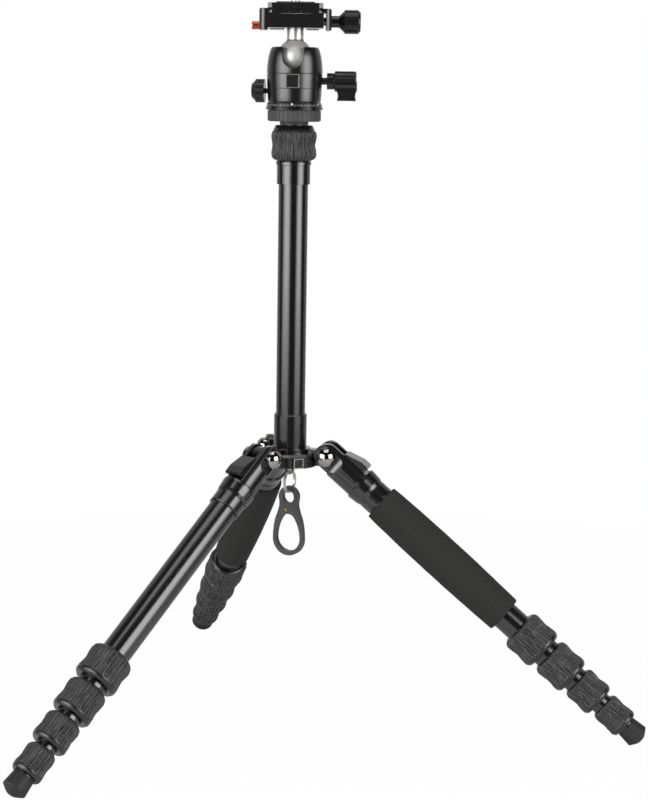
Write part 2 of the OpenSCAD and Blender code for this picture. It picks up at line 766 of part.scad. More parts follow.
module clamp_jaw() {
    inner = jaws_w / 2 - jaw_t;
    color(black) on_column() {
        difference() {
            intersection() {
                rotate([90, 0, 0]) translate([0, 0, -clamp_depth / 2]) linear_extrude(clamp_depth)
                    jaw_outline(1, block_z - jaw_drop, inner, face_gap);
                rounded_plan();
            }
            translate([inner - cut, 0, block_z + screw_z]) rotate([0, 90, 0])
                cylinder(h = jaw_t + 2 * cut, r = screw_d / 2 + pin_gap);
        }
        // Guide rods, one at each side of the screw
        for (y = [-rod_y, rod_y]) translate([inner + bite - screw_in, y, block_z + screw_z])
            rotate([0, 90, 0]) cylinder(h = screw_in, r = rod_r);
    }
}

module clamp_knob() {
    start = jaws_w / 2 + face_gap / 2;
    dome = 4;
    grip = knob_len - dome - 3 * edge;
    color(black) on_column() translate([0, 0, block_z + screw_z]) rotate([0, 90, 0]) {
        translate([0, 0, block_w / 2 - screw_in + jaw_travel])
            cylinder(h = start - block_w / 2 + screw_in - jaw_travel + bite, r = screw_d / 2);
        translate([0, 0, start]) cylinder(h = shaft_len + bite, r = shaft_d / 2);
        translate([0, 0, start + shaft_len])
            cylinder(h = dome, r1 = shaft_d / 2, r2 = knob_d / 2 - rib);
        translate([0, 0, start + shaft_len + dome]) ribbed(knob_d / 2, grip, rib, knob_ribs);
        translate([0, 0, start + shaft_len + dome + grip])
            cylinder(h = 3 * edge, r1 = knob_d / 2 - rib, r2 = knob_d / 2 - 3 * rib);
    }
}

module safety_pin() {
    inside = (jaws_w - block_w) / 2 + safety_in - safety_play;
    head_in = (jaws_w - block_w) / 2 - bite - safety_play;
    color(safety_red) on_column() translate([-jaws_w / 2 - safety_out, 0, block_z + safety_z])
        rotate([0, 90, 0]) difference() {
            union() {
                cylinder(h = safety_out + head_in, r = safety_d / 2);
                cylinder(h = safety_out + inside, r = safety_r);
            }
            // Grooves along the pin's front and back, and a shallow notch across its end
            for (a = [0, 180]) rotate([0, 0, a]) translate([-edge, safety_d / 2 - 2 * edge, -cut])
                cube([2 * edge, safety_d, cut + safety_out - 2 * edge]);
            translate([-edge, -safety_d, -cut]) cube([2 * edge, 2 * safety_d, cut + edge]);
        }
}
safety_play = 2.8;

module quick_plate() {
    flange_z = jaw_top + face_gap;
    lip_z = jaw_top - lip_h;
    half = [tail_w / 2, groove_w / 2, plate_w / 2];
    color(black) on_column() difference() {
        rotate([90, 0, 0]) translate([0, 0, -plate_depth / 2]) linear_extrude(plate_depth)
            polygon([[-half[0], plate_z], [half[0], plate_z], [half[0], lip_z],
                     [half[1], jaw_top - edge], [half[1], flange_z], [half[2], flange_z],
                     [half[2], plate_top - edge], [half[2] - edge, plate_top],
                     [edge - half[2], plate_top], [-half[2], plate_top - edge],
                     [-half[2], flange_z], [-half[1], flange_z], [-half[1], jaw_top - edge],
                     [-half[0], lip_z]]);
        translate([0, 0, plate_z - cut]) cylinder(h = plate_h + 2 * cut, r = thread_d / 2 + face_gap);
        translate([0, 0, plate_z - cut]) cylinder(h = head_h + 2 * face_gap + cut, r = head_r + face_gap);
        // Chamfered corners
        for (i = [-1, 1]) for (j = [-1, 1])
            translate([i * plate_w / 2, j * plate_depth / 2, plate_z - cut])
                linear_extrude(plate_h + 2 * cut)
                    polygon([[-i * corner_x, 0], [0, -j * corner_y], [i * corner_x, 0], [0, j * corner_y]]);
        // Finger notch in the front edge
        translate([0, cut - plate_depth / 2, plate_z]) rotate([90, 0, 0])
            cylinder(h = 2 * cut, r = finger_r);
    }
}
head_r = 8;
head_h = 2.4;
finger_r = 4.2;
corner_x = 3;
corner_y = 1.2;

module plate_pad() {
    color(rubber) on_column() translate([0, 0, plate_top]) difference() {
        translate([-pad_w / 2, edge - plate_depth / 2, 0])
            cube([pad_w, plate_depth - 2 * edge, pad_h]);
        translate([0, 0, -cut]) cylinder(h = pad_h + 2 * cut, r = thread_d / 2 + face_gap);
    }
}

// Camera screw with a narrow neck through the plate, so that it can't fall out
neck_step = 0.6;
module camera_screw() {
    z = plate_z + face_gap;
    tip = 0.6;
    color(satin) on_column() difference() {
        union() {
            translate([0, 0, z]) cylinder(h = head_h, r = head_r);
            translate([0, 0, z]) cylinder(h = pad_top - z + bite, r = thread_d / 2 - neck_step);
            translate([0, 0, pad_top]) cylinder(h = thread_out - tip, r = thread_d / 2);
            translate([0, 0, pad_top + thread_out - tip])
                cylinder(h = tip, r1 = thread_d / 2, r2 = thread_d / 2 - tip);
        }
        // Coin slot in the head
        translate([-head_r - cut, -edge, z - cut]) cube([2 * head_r + 2 * cut, 2 * edge, cut + head_h / 2]);
    }
}

// Heights on the hook, from the pivots: the ring's top wire hangs in the eye
hang_gap = 0.6;
ring_mean = split_d / 2 - split_w / 2;
ring_z = -hub_drop - eye_drop - eye_hole_d / 2 + hang_gap + split_w / 2 - ring_mean;
hook_eye_z = ring_z - ring_mean + split_w / 2 + hang_gap - hook_hole_d / 2;
bow_z = hook_eye_z - bow_drop;
rivet_share = 0.31;
rivet_z = hook_eye_z - bow_drop * rivet_share;

// Split ring of two flat turns, joined at one step, in a plane across the hook's eye
module split_ring() {
    color(satin) on_hook() translate([0, 0, ring_z]) rotate([0, 90, 0]) {
        translate([0, 0, -split_t]) difference() {
            cylinder(h = 2 * split_t, r = split_d / 2);
            translate([0, 0, -cut]) cylinder(h = 2 * split_t + 2 * cut, r = split_d / 2 - split_w);
            // Parting line round the outside, open but for the step
            difference() {
                translate([0, 0, split_t - seam / 2]) cylinder(h = seam, r = split_d);
                translate([0, 0, split_t - seam]) cylinder(h = 2 * seam, r = split_d / 2 - split_w / 2);
                translate([0, -2 * split_w, 0]) cube([split_d, 4 * split_w, 2 * split_t]);
            }
        }
    }
}
seam = 0.16;

// Outlines of the hook and of its opening: each row has the share of the bow's radius
// and the share of the distance between eye and bow
hook_shares = [[0.6, 0.09], [0.585, 0.2], [0.64, 0.3], [0.73, 0.41], [0.82, 0.5],
               [0.89, 0.6], [0.975, 0.8], [1, 1]];
pear_shares = [[0, 0.405], [0.24, 0.425], [0.4, 0.485], [0.52, 0.56], [0.655, 0.67],
               [0.745, 0.79], [0.785, 0.885], [0.8, 0.975]];

// Both sides of such an outline
module hook_sides(shares) {
    side = [for (p = curve(shares, 3)) [p[0] * bow_d / 2, hook_eye_z - p[1] * bow_drop]];
    n = len(side) - 1;
    polygon(concat(side, [for (i = [0:n]) [-side[n - i][0], side[n - i][1]]]));
}

module hook_outline() {
    translate([0, hook_eye_z]) circle(r = hook_eye_d / 2);
    translate([0, bow_z]) circle(r = bow_d / 2);
    hook_sides(hook_shares);
}

// Eye hole and pear opening of the hook
module hook_openings() {
    translate([0, hook_eye_z]) circle(r = hook_hole_d / 2);
    translate([0, hook_eye_z - pear_shares[7][1] * bow_drop]) circle(r = pear_shares[7][0] * bow_d / 2);
    hook_sides(pear_shares);
}

// The gate is the left bar of the bow, cut out on two arcs round the rivet it turns on
rivet_x = -1.9;
gate_top_r = 8.6;
gate_nose_r = 19.4;
tongue_t = 2;
tongue_w = 5;
gate_throw = 24;

// Region of the hook that the gate fills, grown by g
module gate_region(g) {
    intersection() {
        translate([rivet_x, rivet_z]) difference() {
            circle(r = gate_nose_r + g);
            circle(r = gate_top_r - g);
        }
        translate([-bow_d, rivet_z - bow_d]) square([bow_d - pear_r / 2, bow_d - tongue_w / 2]);
    }
}

// Thin tongue that joins the gate to the rivet, grown by g and turned by a
module gate_tongue(g, a) {
    translate([rivet_x, rivet_z]) rotate([0, 0, 225 + a]) {
        circle(r = tongue_w / 2 + g);
        translate([0, -tongue_w / 2 - g]) square([gate_top_r + 2 * bite + g, tongue_w + 2 * g]);
    }
}

module hook_plate(t) {
    rotate([90, 0, 0]) translate([0, 0, -t / 2]) linear_extrude(t) children();
}

module carabiner() {
    color(anodised) on_hook() difference() {
        hook_plate(hook_t) difference() {
            hook_outline();
            hook_openings();
            gate_region(face_gap);
        }
        // Slot that the gate's tongue turns in
        hook_plate(tongue_t + 2 * face_gap)
            for (i = [0:3]) gate_tongue(face_gap, i * gate_throw / 3);
        translate([rivet_x, 0, rivet_z]) cross_bore(rivet_r, hook_t + 2 * cut);
    }
    // Rivet that the gate turns on
    color("goldenrod") on_hook() translate([rivet_x, 0, rivet_z]) cross_bore(rivet_r, hook_t + edge);
}
rivet_r = 1.1;

module carabiner_gate() {
    color(anodised) on_hook() difference() {
        union() {
            hook_plate(hook_t) difference() {
                intersection() {
                    hook_outline();
                    gate_region(0);
                }
                hook_openings();
            }
            hook_plate(tongue_t) difference() {
                intersection() {
                    hook_outline();
                    gate_tongue(0, 0);
                }
                hook_openings();
            }
        }
        translate([rivet_x, 0, rivet_z]) cross_bore(rivet_r + pin_gap, hook_t + 2 * cut);
    }
}

module shoulder(k) {
    r = shoulder_d / 2;
    color(black) on_leg(k) difference() {
        intersection() {
            shoulder_turned();
            shoulder_side();
        }
        // Slot for the lug, and the flats outside the cheeks with their hollow ramps
        translate([-r - cut, -lug_w / 2 - face_gap, -r - cut])
            cube([2 * r + 2 * cut, lug_w + 2 * face_gap, r + cut + lug_r + 2 * face_gap]);
        for (s = [0, 180]) rotate([0, 0, s]) translate([-r - cut, cheeks_w / 2, 0]) {
            translate([0, 0, -r - cut]) cube([2 * r + 2 * cut, r, r + cut + ramp_s]);
            translate([0, ramp_r, ramp_s]) rotate([0, 90, 0]) cylinder(h = 2 * r + 2 * cut, r = ramp_r);
        }
        cross_bore(bolt_d / 2 + pin_gap, shoulder_d + 2 * cut);
        // Socket for the first tube
        translate([0, 0, tube_start]) cylinder(h = shoulder_s, r = tube_r(0) + pin_gap);
        // Recess for the angle stop and the nose's slot
        translate([stop_floor, -stop_w / 2 - face_gap, -r])
            cube([r, stop_w + 2 * face_gap, r + stop_end_s + stop_pull + face_gap]);
        translate([0, -lug_w / 2 - face_gap, 0])
            cube([r, lug_w + 2 * face_gap, nose_s + nose_t + stop_pull + face_gap]);
    }
}
stop_floor = 9.6;
nose_t = 4;

// Turned body of a shoulder: barrel, flared band, taper and grooved end collar
module shoulder_turned() {
    r = shoulder_d / 2;
    f = flare_d / 2;
    c = shoulder_d / 2 - score;
    rotate_extrude() polygon([
        [0, -r], [r, -r], [r, flare_s - edge], [f, flare_s + edge], [f, flare_s + 4 * edge],
        [f - 2 * score, collar_s - 6 * edge], [c, collar_s - edge], [c - score, collar_s - edge],
        [c - score, collar_s], [c, collar_s], [c, shoulder_s - 2 * edge], [c - score, shoulder_s - 2 * edge],
        [c - score, shoulder_s - edge], [c, shoulder_s - edge], [c - score, shoulder_s], [0, shoulder_s]]);
}

// Side outline of a shoulder, extruded across it: round cheeks that widen to the barrel
// once they are past the hub's edge
module shoulder_side() {
    r = shoulder_d / 2;
    wide_s = lug_r + stop_drop + face_gap;
    rotate([90, 0, 0]) translate([0, 0, -r - cut]) linear_extrude(2 * r + 2 * cut) union() {
        circle(r = cheek_r);
        polygon([[-cheek_r, 0], [cheek_r, 0], [cheek_r, lug_r], [r + cut, wide_s],
                 [flare_d, wide_s], [flare_d, shoulder_s + cut], [-flare_d, shoulder_s + cut],
                 [-flare_d, wide_s], [-r - cut, wide_s], [-cheek_r, lug_r]]);
    }
}

module angle_stop(k) {
    floor_x = stop_floor + face_gap;
    lead_s = nose_s + edge;
    color(black) on_leg(k) {
        // Wedge-shaped tab with an undercut end
        rotate([90, 0, 0]) translate([0, 0, -stop_w / 2]) linear_extrude(stop_w)
            polygon([[floor_x, lead_s], [floor_x + 2 * edge, lead_s], [stop_top, stop_end_s * 3 / 4],
                     [stop_top, stop_end_s - 2 * edge], [stop_top - 2 * edge, stop_end_s],
                     [stop_top - 5 * edge, stop_end_s], [floor_x, stop_end_s - 6 * edge]]);
        // Nose that drops into the lug's notches
        translate([nose_x, -lug_w / 2 + face_gap, nose_s])
            cube([nose_w, lug_w - 2 * face_gap, nose_t]);
        translate([nose_x, -lug_w / 2 + face_gap, nose_s + edge])
            cube([floor_x - nose_x + bite, lug_w - 2 * face_gap, nose_t - edge]);
    }
}

// Ring on a section's end, which carries the twist lock below it
module end_ring(i, s) {
    h = i == 3 ? foot_neck : ring_len;
    difference() {
        translate([0, 0, s + face_gap]) cylinder(h = h - face_gap, r = ring_ds[i] / 2);
        translate([0, 0, s]) cylinder(h = h + cut, r = tube_r(i + 1) - bite);
    }
}

module leg_tube(k, i) {
    r = tube_r(i);
    color(black) on_leg(k) {
        pipe(r, r - tube_wall, tube_top(i), tube_end(i));
        if (i > 0) end_ring(i - 1, lock_end(i - 1));
    }
}

module leg_lock(k, i) {
    bore = tube_r(i) + face_gap;
    throat = tube_r(i + 1) + face_gap;
    start = lock_s(i) + (i == 0 ? 0 : face_gap);
    seat = tube_end(i) - start + face_gap;
    len = lock_end(i) - start;
    color(rubber) on_leg(k) translate([0, 0, start]) {
        difference() {
            turned(nut_shares, lock_ds[i] / 2, len, 0);
            translate([0, 0, -cut]) cylinder(h = seat + cut, r = bore);
            translate([0, 0, -cut]) cylinder(h = len + 2 * cut, r = throat);
        }
    }
}

module foot(k) {
    color(rubber) on_leg(k) translate([0, 0, foot_s]) difference() {
        turned(foot_shares, foot_d / 2, foot_len, 0, 1);
        translate([0, 0, -cut]) cylinder(h = foot_bore + cut, r = tube_r(4) + pin_gap);
    }
}

module foam_grip(k) {
    color(foam_black) on_leg(k) translate([0, 0, shoulder_s + pin_gap])
        turned(foam_shares, foam_d / 2, foam_len, tube_r(0) + pin_gap);
}

hub();
column_tube();
hub_fasteners();
column_lock();
inner_column();
platform_disc();
pan_base();
head_housing();
lock_knob();
pan_knob();
ball();
ball_neck();
clamp_body();
clamp_jaw();
clamp_knob();
safety_pin();
quick_plate();
plate_pad();
camera_screw();
split_ring();
carabiner();
carabiner_gate();
for (k = [0:2]) {
    shoulder(k);
    angle_stop(k);
    leg_tube(k, 0);
    leg_tube(k, 1);
    leg_tube(k, 2);
    leg_tube(k, 3);
    leg_tube(k, 4);
    leg_lock(k, 0);
    leg_lock(k, 1);
    leg_lock(k, 2);
    leg_lock(k, 3);
    foot(k);
}
for (k = [0:1]) {
    foam_grip(k);
}
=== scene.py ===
"""Looks of a travel tripod with a ball head, laid over its packed CAD frame."""

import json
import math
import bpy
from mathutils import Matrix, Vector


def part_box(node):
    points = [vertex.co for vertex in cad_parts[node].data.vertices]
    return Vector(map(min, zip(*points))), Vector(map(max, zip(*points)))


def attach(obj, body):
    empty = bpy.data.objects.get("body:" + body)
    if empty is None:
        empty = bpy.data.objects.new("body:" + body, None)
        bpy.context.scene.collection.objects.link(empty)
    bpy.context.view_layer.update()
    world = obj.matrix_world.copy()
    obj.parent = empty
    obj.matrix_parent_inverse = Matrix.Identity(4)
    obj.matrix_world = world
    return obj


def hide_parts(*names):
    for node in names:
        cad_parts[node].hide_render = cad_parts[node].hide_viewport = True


bl_info = {
    "name": "Travel Tripod",
    "version": (1, 0, 0),
    "blender": (4, 5, 0),
    "location": "View3D > Sidebar > Tripod",
    "description": "Grips, trims, finishes and studio for a travel tripod with a ball head",
    "category": "Object",
}

import bmesh
import bpy
from mathutils import Matrix, Vector, noise

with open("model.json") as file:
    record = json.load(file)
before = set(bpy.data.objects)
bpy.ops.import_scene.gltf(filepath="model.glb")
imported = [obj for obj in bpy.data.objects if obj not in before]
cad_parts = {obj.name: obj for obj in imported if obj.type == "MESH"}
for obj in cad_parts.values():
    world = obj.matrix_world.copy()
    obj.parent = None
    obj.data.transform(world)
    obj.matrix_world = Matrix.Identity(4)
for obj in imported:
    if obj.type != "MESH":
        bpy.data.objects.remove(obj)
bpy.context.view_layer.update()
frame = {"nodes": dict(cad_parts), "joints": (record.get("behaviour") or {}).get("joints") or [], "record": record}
JOINTS = {joint["name"]: joint for joint in frame["joints"]}

MM = 0.001
LEGS = ("right", "rear", "left")
GRIPPED = ("right", "rear")
TUBE_WIDTHS = (22, 19, 16, 13, 10)  # millimetres, a leg's five tubes from the top
WELD = 0.002  # millimetres between points that a grown mesh merges


# Frames of the pieces, read from the joints


def own_frame(origin, z_axis, y_axis):
    """Matrix from a piece's own millimetres to the row frame, from its Z and Y directions."""
    z = Vector(z_axis).normalized()
    y = Vector(y_axis).normalized()
    x = y.cross(z)
    turn = Matrix((x, y, z)).transposed().to_4x4()
    return Matrix.Translation(Vector(origin)) @ turn @ Matrix.Scale(MM, 4)


def leg_frame(leg):
    """A leg's frame: Z runs down the leg from its pivot, X is its upper side."""
    fold = JOINTS[f"{leg}_leg_fold"]
    down = Vector(JOINTS[f"{leg}_section_2_slide"]["axis"])
    across = Vector(fold["axis"])
    if across.cross(down).z < 0:
        across = -across
    return own_frame(fold["pos_m"], down, across)


def post_frame(node=None):
    """The column's frame: Z up from the hub's pivots, or from a node's foot."""
    spot = Vector(JOINTS["column_lock_twist"]["pos_m"])
    spot.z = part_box(node)[0][2] if node else JOINTS["right_leg_fold"]["pos_m"][2]
    return own_frame(spot, (0, 0, 1), (0, 1, 0))


def head_frame():
    """The turned head's frame: X points at the ball lock knob, Z up from the hub's pivots."""
    knob = Vector(JOINTS["ball_lock_twist"]["axis"])
    knob = knob if knob.x > 0 else -knob
    spot = post_frame().translation
    return own_frame(spot, (0, 0, 1), Vector((0, 0, 1)).cross(knob))


def badge_frame():
    """Frame of the hub's badge: -Y faces away from the column, midway between two legs."""
    centre = post_frame().translation
    leg = Vector(JOINTS["right_leg_fold"]["pos_m"]) - centre
    return own_frame(centre, (0, 0, 1), Matrix.Rotation(math.radians(120), 3, "Z") @ leg)


def reach_of(node, place, axis):
    """Lowest and highest coordinate of a node along an axis of a frame, in millimetres."""
    inward = place.inverted()
    reach = [(inward @ vertex.co)[axis] for vertex in frame["nodes"][node].data.vertices]
    return min(reach), max(reach)


def along_leg(leg, node):
    """Where a node of a leg begins and ends along it, in millimetres from the pivot."""
    return reach_of(node, leg_frame(leg), 2)


# Node trees, written as Python expressions


class Value:
    """A socket of a node tree that takes part in Python sums and products."""

    def __init__(self, tree, socket):
        self.tree = tree
        self.socket = socket

    def math(self, operation, *others):
        return self.tree.math(operation, self, *others)

    def __add__(self, other):
        return self.tree.math("ADD", self, other)

    def __sub__(self, other):
        return self.tree.math("SUBTRACT", self, other)

    def __rsub__(self, other):
        return self.tree.math("SUBTRACT", other, self)

    def __mul__(self, other):
        return self.tree.math("MULTIPLY", self, other)

    def __truediv__(self, other):
        return self.tree.math("DIVIDE", self, other)

    __radd__ = __add__
    __rmul__ = __mul__


class Tree:
    """Adds nodes to a shader or geometry tree."""

    def __init__(self, tree):
        self.tree = tree
        tree.nodes.clear()

    def node(self, kind, settings=None, inputs=None, output=0):
        """A node of a kind, its settings first, then the values or links of its sockets."""
        made = self.tree.nodes.new(kind)
        for key, value in (settings or {}).items():
            setattr(made, key, value)
        for key, value in (inputs or {}).items():
            if isinstance(value, Value):
                self.tree.links.new(value.socket, made.inputs[key])
            else:
                made.inputs[key].default_value = value
        return Value(self, made.outputs[output])

    def math(self, operation, *values):
        """Math node of values and links."""
        return self.node("ShaderNodeMath", {"operation": operation}, dict(enumerate(values)))

    def sockets(self, value):
        """X, Y and Z of a vector."""
        split = self.node("ShaderNodeSeparateXYZ", None, {0: value}).socket.node
        return [Value(self, out) for out in split.outputs]

    def step(self, value, low, high, rise=(0, 1)):
        """Smooth step of a value between two limits."""
        settings = {"interpolation_type": "SMOOTHSTEP"}
        return self.node("ShaderNodeMapRange", settings,
                         {0: value, 1: low, 2: high, 3: rise[0], 4: rise[1]})


class Finish(Tree):
    """One procedural material: uniform values on the shader, varying ones through nodes."""

    def __init__(self, name, colour, roughness, metallic=0.0, ior=1.5):
        self.material = bpy.data.materials.new(name)
        self.material.use_nodes = True
        super().__init__(self.material.node_tree)
        self.shader = self.tree.nodes.new("ShaderNodeBsdfPrincipled")
        shade = self.tree.nodes.new("ShaderNodeOutputMaterial")
        self.tree.links.new(self.shader.outputs[0], shade.inputs[0])
        for key, value in {"Base Color": (*colour, 1), "Roughness": roughness,
                           "Metallic": metallic, "IOR": ior}.items():
            self.shader.inputs[key].default_value = value
        self.material.diffuse_color = (*colour, 1)
        self.place = self.node("ShaderNodeTexCoord", output=3)

    def feed(self, key, value):
        """Links a value to the shader's input of that name."""
        self.tree.links.new(value.socket, self.shader.inputs[key])

    def mapped(self, scale, turn=(0, 0, 0)):
        """Object coordinates, turned and then scaled."""
        turned = self.node("ShaderNodeMapping", {"vector_type": "TEXTURE"},
                           {"Vector": self.place, "Rotation": turn})
        return self.node("ShaderNodeMapping", None, {"Vector": turned, "Scale": scale})

    def noise(self, vector, scale, detail, roughness):
        """Fractal noise between 0 and 1, its scale in cells for each metre."""
        return self.node("ShaderNodeTexNoise", None,
                         {"Vector": vector, "Scale": scale, "Detail": detail,
                          "Roughness": roughness})

    def blend(self, factor, first, second):
        """Mix of two colours, each a triple or a link."""
        ends = [end if isinstance(end, Value) else (*end, 1) for end in (first, second)]
        return self.node("ShaderNodeMix", {"data_type": "RGBA"},
                         {0: factor, 6: ends[0], 7: ends[1]}, output=2)

    def relief(self, height, depth, edge=0.0):
        """Bump of a height, on corners rounded by an edge radius."""
        inputs = {"Height": height, "Distance": depth, "Strength": 1.0}
        if edge:
            inputs["Normal"] = self.node("ShaderNodeBevel", {"samples": 6}, {"Radius": edge})
        self.feed("Normal", self.node("ShaderNodeBump", None, inputs))


# Finishes


def gloss_black():
    """Smooth black anodising with a faint haze."""
    finish = Finish("Gloss black anodising", (0.005, 0.005, 0.0055), roughness=0.18, ior=1.75)
    haze = finish.noise(finish.place, scale=60, detail=4, roughness=0.6)
    grain = finish.noise(finish.place, scale=2600, detail=2, roughness=0.6)
    finish.feed("Roughness", 0.13 + haze * 0.08 + grain * 0.03)
    finish.feed("Base Color", finish.blend(grain, (0.003, 0.003, 0.0035), (0.007, 0.007, 0.0075)))
    finish.relief(grain, depth=0.001 * MM, edge=0.35 * MM)
    return finish.material


def tube_black(leg):
    """Black anodised tube, drawn along its length, with a fine warm speckle."""
    finish = Finish(f"Tube black {leg}", (0.005, 0.005, 0.005), roughness=0.18, ior=1.75)
    turn = leg_frame(leg).to_euler() if leg in LEGS else (0, 0, 0)
    drawn = finish.mapped((1, 1, 0.18), turn)
    speckle = finish.noise(drawn, scale=3200, detail=3, roughness=0.7)
    spots = finish.step(speckle, low=0.52, high=0.72)
    haze = finish.noise(drawn, scale=240, detail=3, roughness=0.6)
    finish.feed("Base Color", finish.blend(spots, (0.004, 0.004, 0.004), (0.015, 0.014, 0.0125)))
    finish.feed("Roughness", 0.14 + haze * 0.08 + spots * 0.08)
    finish.relief(speckle, depth=0.002 * MM, edge=0.2 * MM)
    return finish.material


def satin_black():
    """Bead-blasted black anodising."""
    finish = Finish("Satin black anodising", (0.006, 0.006, 0.006), roughness=0.24, ior=1.65)
    grain = finish.noise(finish.place, scale=3800, detail=3, roughness=0.7)
    haze = finish.noise(finish.place, scale=90, detail=3, roughness=0.6)
    finish.feed("Base Color", finish.blend(grain, (0.004, 0.004, 0.004), (0.009, 0.009, 0.0088)))
    finish.feed("Roughness", 0.19 + haze * 0.04 + grain * 0.04)
    finish.relief(grain, depth=0.0015 * MM, edge=0.45 * MM)
    return finish.material


def moulded_black():
    """Hard black plastic of the knobs, slightly polished."""
    finish = Finish("Moulded black", (0.004, 0.004, 0.0045), roughness=0.26, ior=1.55)
    grain = finish.noise(finish.place, scale=2200, detail=3, roughness=0.6)
    finish.feed("Base Color", finish.blend(grain, (0.003, 0.003, 0.0035), (0.007, 0.007, 0.0075)))
    finish.feed("Roughness", 0.21 + grain * 0.09)
    finish.relief(grain, depth=0.003 * MM, edge=0.3 * MM)
    return finish.material


def grip_rubber(name="Grip rubber", tint=(1.0, 1.0, 1.0), dark=1.0):
    """Dark grey rubber with a dry, slightly dusty skin."""
    low = [0.026 * dark * share for share in tint]
    high = [0.05 * dark * share for share in tint]
    finish = Finish(name, low, roughness=0.6, ior=1.5)
    skin = finish.noise(finish.place, scale=1500, detail=4, roughness=0.65)
    patch = finish.noise(finish.place, scale=120, detail=3, roughness=0.5)
    finish.feed("Base Color", finish.blend(skin * 0.6 + patch * 0.4, low, high))
    finish.feed("Roughness", 0.5 + patch * 0.16)
    finish.relief(skin, depth=0.05 * MM, edge=0.2 * MM)
    return finish.material


def lock_rubber():
    """Dry rubber of the twist locks: painted highlight on the rib crests, painted shade in the valleys, and
    smooth, glossy ends.
    """
    finish = Finish("Lock rubber", (0.03, 0.03, 0.03), roughness=0.55, ior=1.6)
    crest = finish.node("ShaderNodeAttribute", {"attribute_name": "crest"}, output=2)
    ribbed = finish.node("ShaderNodeAttribute", {"attribute_name": "ribbed"}, output=2)
    skin = finish.noise(finish.place, scale=1500, detail=4, roughness=0.65)
    patch = finish.noise(finish.place, scale=140, detail=3, roughness=0.5)
    # The crest attribute paints the rib crests and fibre streaks pale and the valleys dark: painted highlight and
    # painted shade over the carved ribs, not wear; only the skin and patch noise give the rubber its own uneven
    # tone.
    worn = crest.math("POWER", 2.0) + skin * 0.15 + patch * 0.2 - 0.13
    ribs = finish.blend(worn, (0.004, 0.004, 0.004), (0.041, 0.041, 0.0405))
    finish.feed("Base Color", finish.blend(ribbed, (0.004, 0.004, 0.0045), ribs))
    finish.feed("Roughness", 0.26 + ribbed * 0.26 + skin * 0.06)
    finish.relief(skin * ribbed, depth=0.03 * MM)
    return finish.material


def foam():
    """Closed-cell foam: fine pores on a matt dark skin."""
    finish = Finish("Foam", (0.022, 0.022, 0.021), roughness=0.95, ior=1.35)
    cells = finish.node("ShaderNodeTexVoronoi", None, {"Vector": finish.place, "Scale": 1900})
    clump = finish.noise(finish.place, scale=700, detail=4, roughness=0.7)
    wear = finish.noise(finish.place, scale=26, detail=3, roughness=0.55)
    pore = finish.step(cells, low=0.15, high=0.75)
    finish.feed("Base Color", finish.blend(pore * 0.5 + clump * 0.35 + wear * 0.25,
                                           (0.008, 0.008, 0.0077), (0.026, 0.026, 0.025)))
    finish.feed("Roughness", 0.86 + wear * 0.12)
    finish.relief(pore + clump * 0.8, depth=0.09 * MM)
    return finish.material


def satin_metal(name, colour, roughness, grain_depth=0.006, metallic=1.0):
    """Bare metal with a fine blasted grain."""
    finish = Finish(name, colour, roughness, metallic)
    grain = finish.noise(finish.place, scale=3000, detail=3, roughness=0.6)
    haze = finish.noise(finish.place, scale=130, detail=3, roughness=0.5)
    dim = [share * 0.86 for share in colour]
    finish.feed("Base Color", finish.blend(haze, dim, colour))
    finish.feed("Roughness", roughness - 0.05 + grain * 0.06 + haze * 0.06)
    finish.relief(grain, depth=grain_depth * MM, edge=0.2 * MM)
    return finish.material


def hook_grey():
    """Grey anodising of the hook, with a brass rivet on the gate's axis."""
    finish = Finish("Grey anodising", (0.07, 0.07, 0.072), roughness=0.42, metallic=0.6)
    grain = finish.noise(finish.place, scale=2600, detail=3, roughness=0.6)
    swing = Vector(JOINTS["gate_swing"]["pos_m"])
    across = Vector(JOINTS["gate_swing"]["axis"])
    away = finish.node("ShaderNodeVectorMath", {"operation": "SUBTRACT"},
                       {0: finish.place, 1: swing})
    beside = finish.node("ShaderNodeVectorMath", {"operation": "CROSS_PRODUCT"},
                         {0: away, 1: across})
    radius = finish.node("ShaderNodeVectorMath", {"operation": "LENGTH"}, {0: beside}, output=1)
    rivet = finish.step(radius, low=1.08 * MM, high=1.16 * MM, rise=(1, 0))
    grey = finish.blend(grain, (0.05, 0.05, 0.052), (0.085, 0.085, 0.088))
    finish.feed("Base Color", finish.blend(rivet, grey, (0.36, 0.25, 0.1)))
    finish.feed("Metallic", 0.55 + rivet * 0.45)
    finish.feed("Roughness", 0.38 + grain * 0.08 - rivet * 0.12)
    finish.relief(grain, depth=0.01 * MM, edge=0.3 * MM)
    return finish.material


def safety_orange():
    """Orange-red anodising of the safety pin."""
    finish = Finish("Safety orange", (0.52, 0.09, 0.045), roughness=0.3, metallic=0.75)
    grain = finish.noise(finish.place, scale=2200, detail=3, roughness=0.6)
    finish.feed("Base Color", finish.blend(grain, (0.44, 0.07, 0.035), (0.62, 0.13, 0.07)))
    finish.feed("Roughness", 0.22 + grain * 0.08)
    finish.relief(grain, depth=0.004 * MM, edge=0.25 * MM)
    return finish.material


def index_paint(name, level):
    """Pale paint of the scale's marks, a little worn."""
    worn, fresh = (0.57, 0.55, 0.51), (1, 0.97, 0.92)
    low, high = ([share * level for share in shade] for shade in (worn, fresh))
    finish = Finish(name, high, roughness=0.5)
    wear = finish.noise(finish.place, scale=900, detail=3, roughness=0.7)
    finish.feed("Base Color", finish.blend(wear, low, high))
    finish.feed("Roughness", 0.45 + wear * 0.15)
    return finish.material


FINISHES = {}


def finish(name):
    """A finish that the first operator made."""
    if name not in FINISHES:
        raise RuntimeError(f"no finish named {name}: run tripod.finishes first")
    return FINISHES[name]


# Meshes


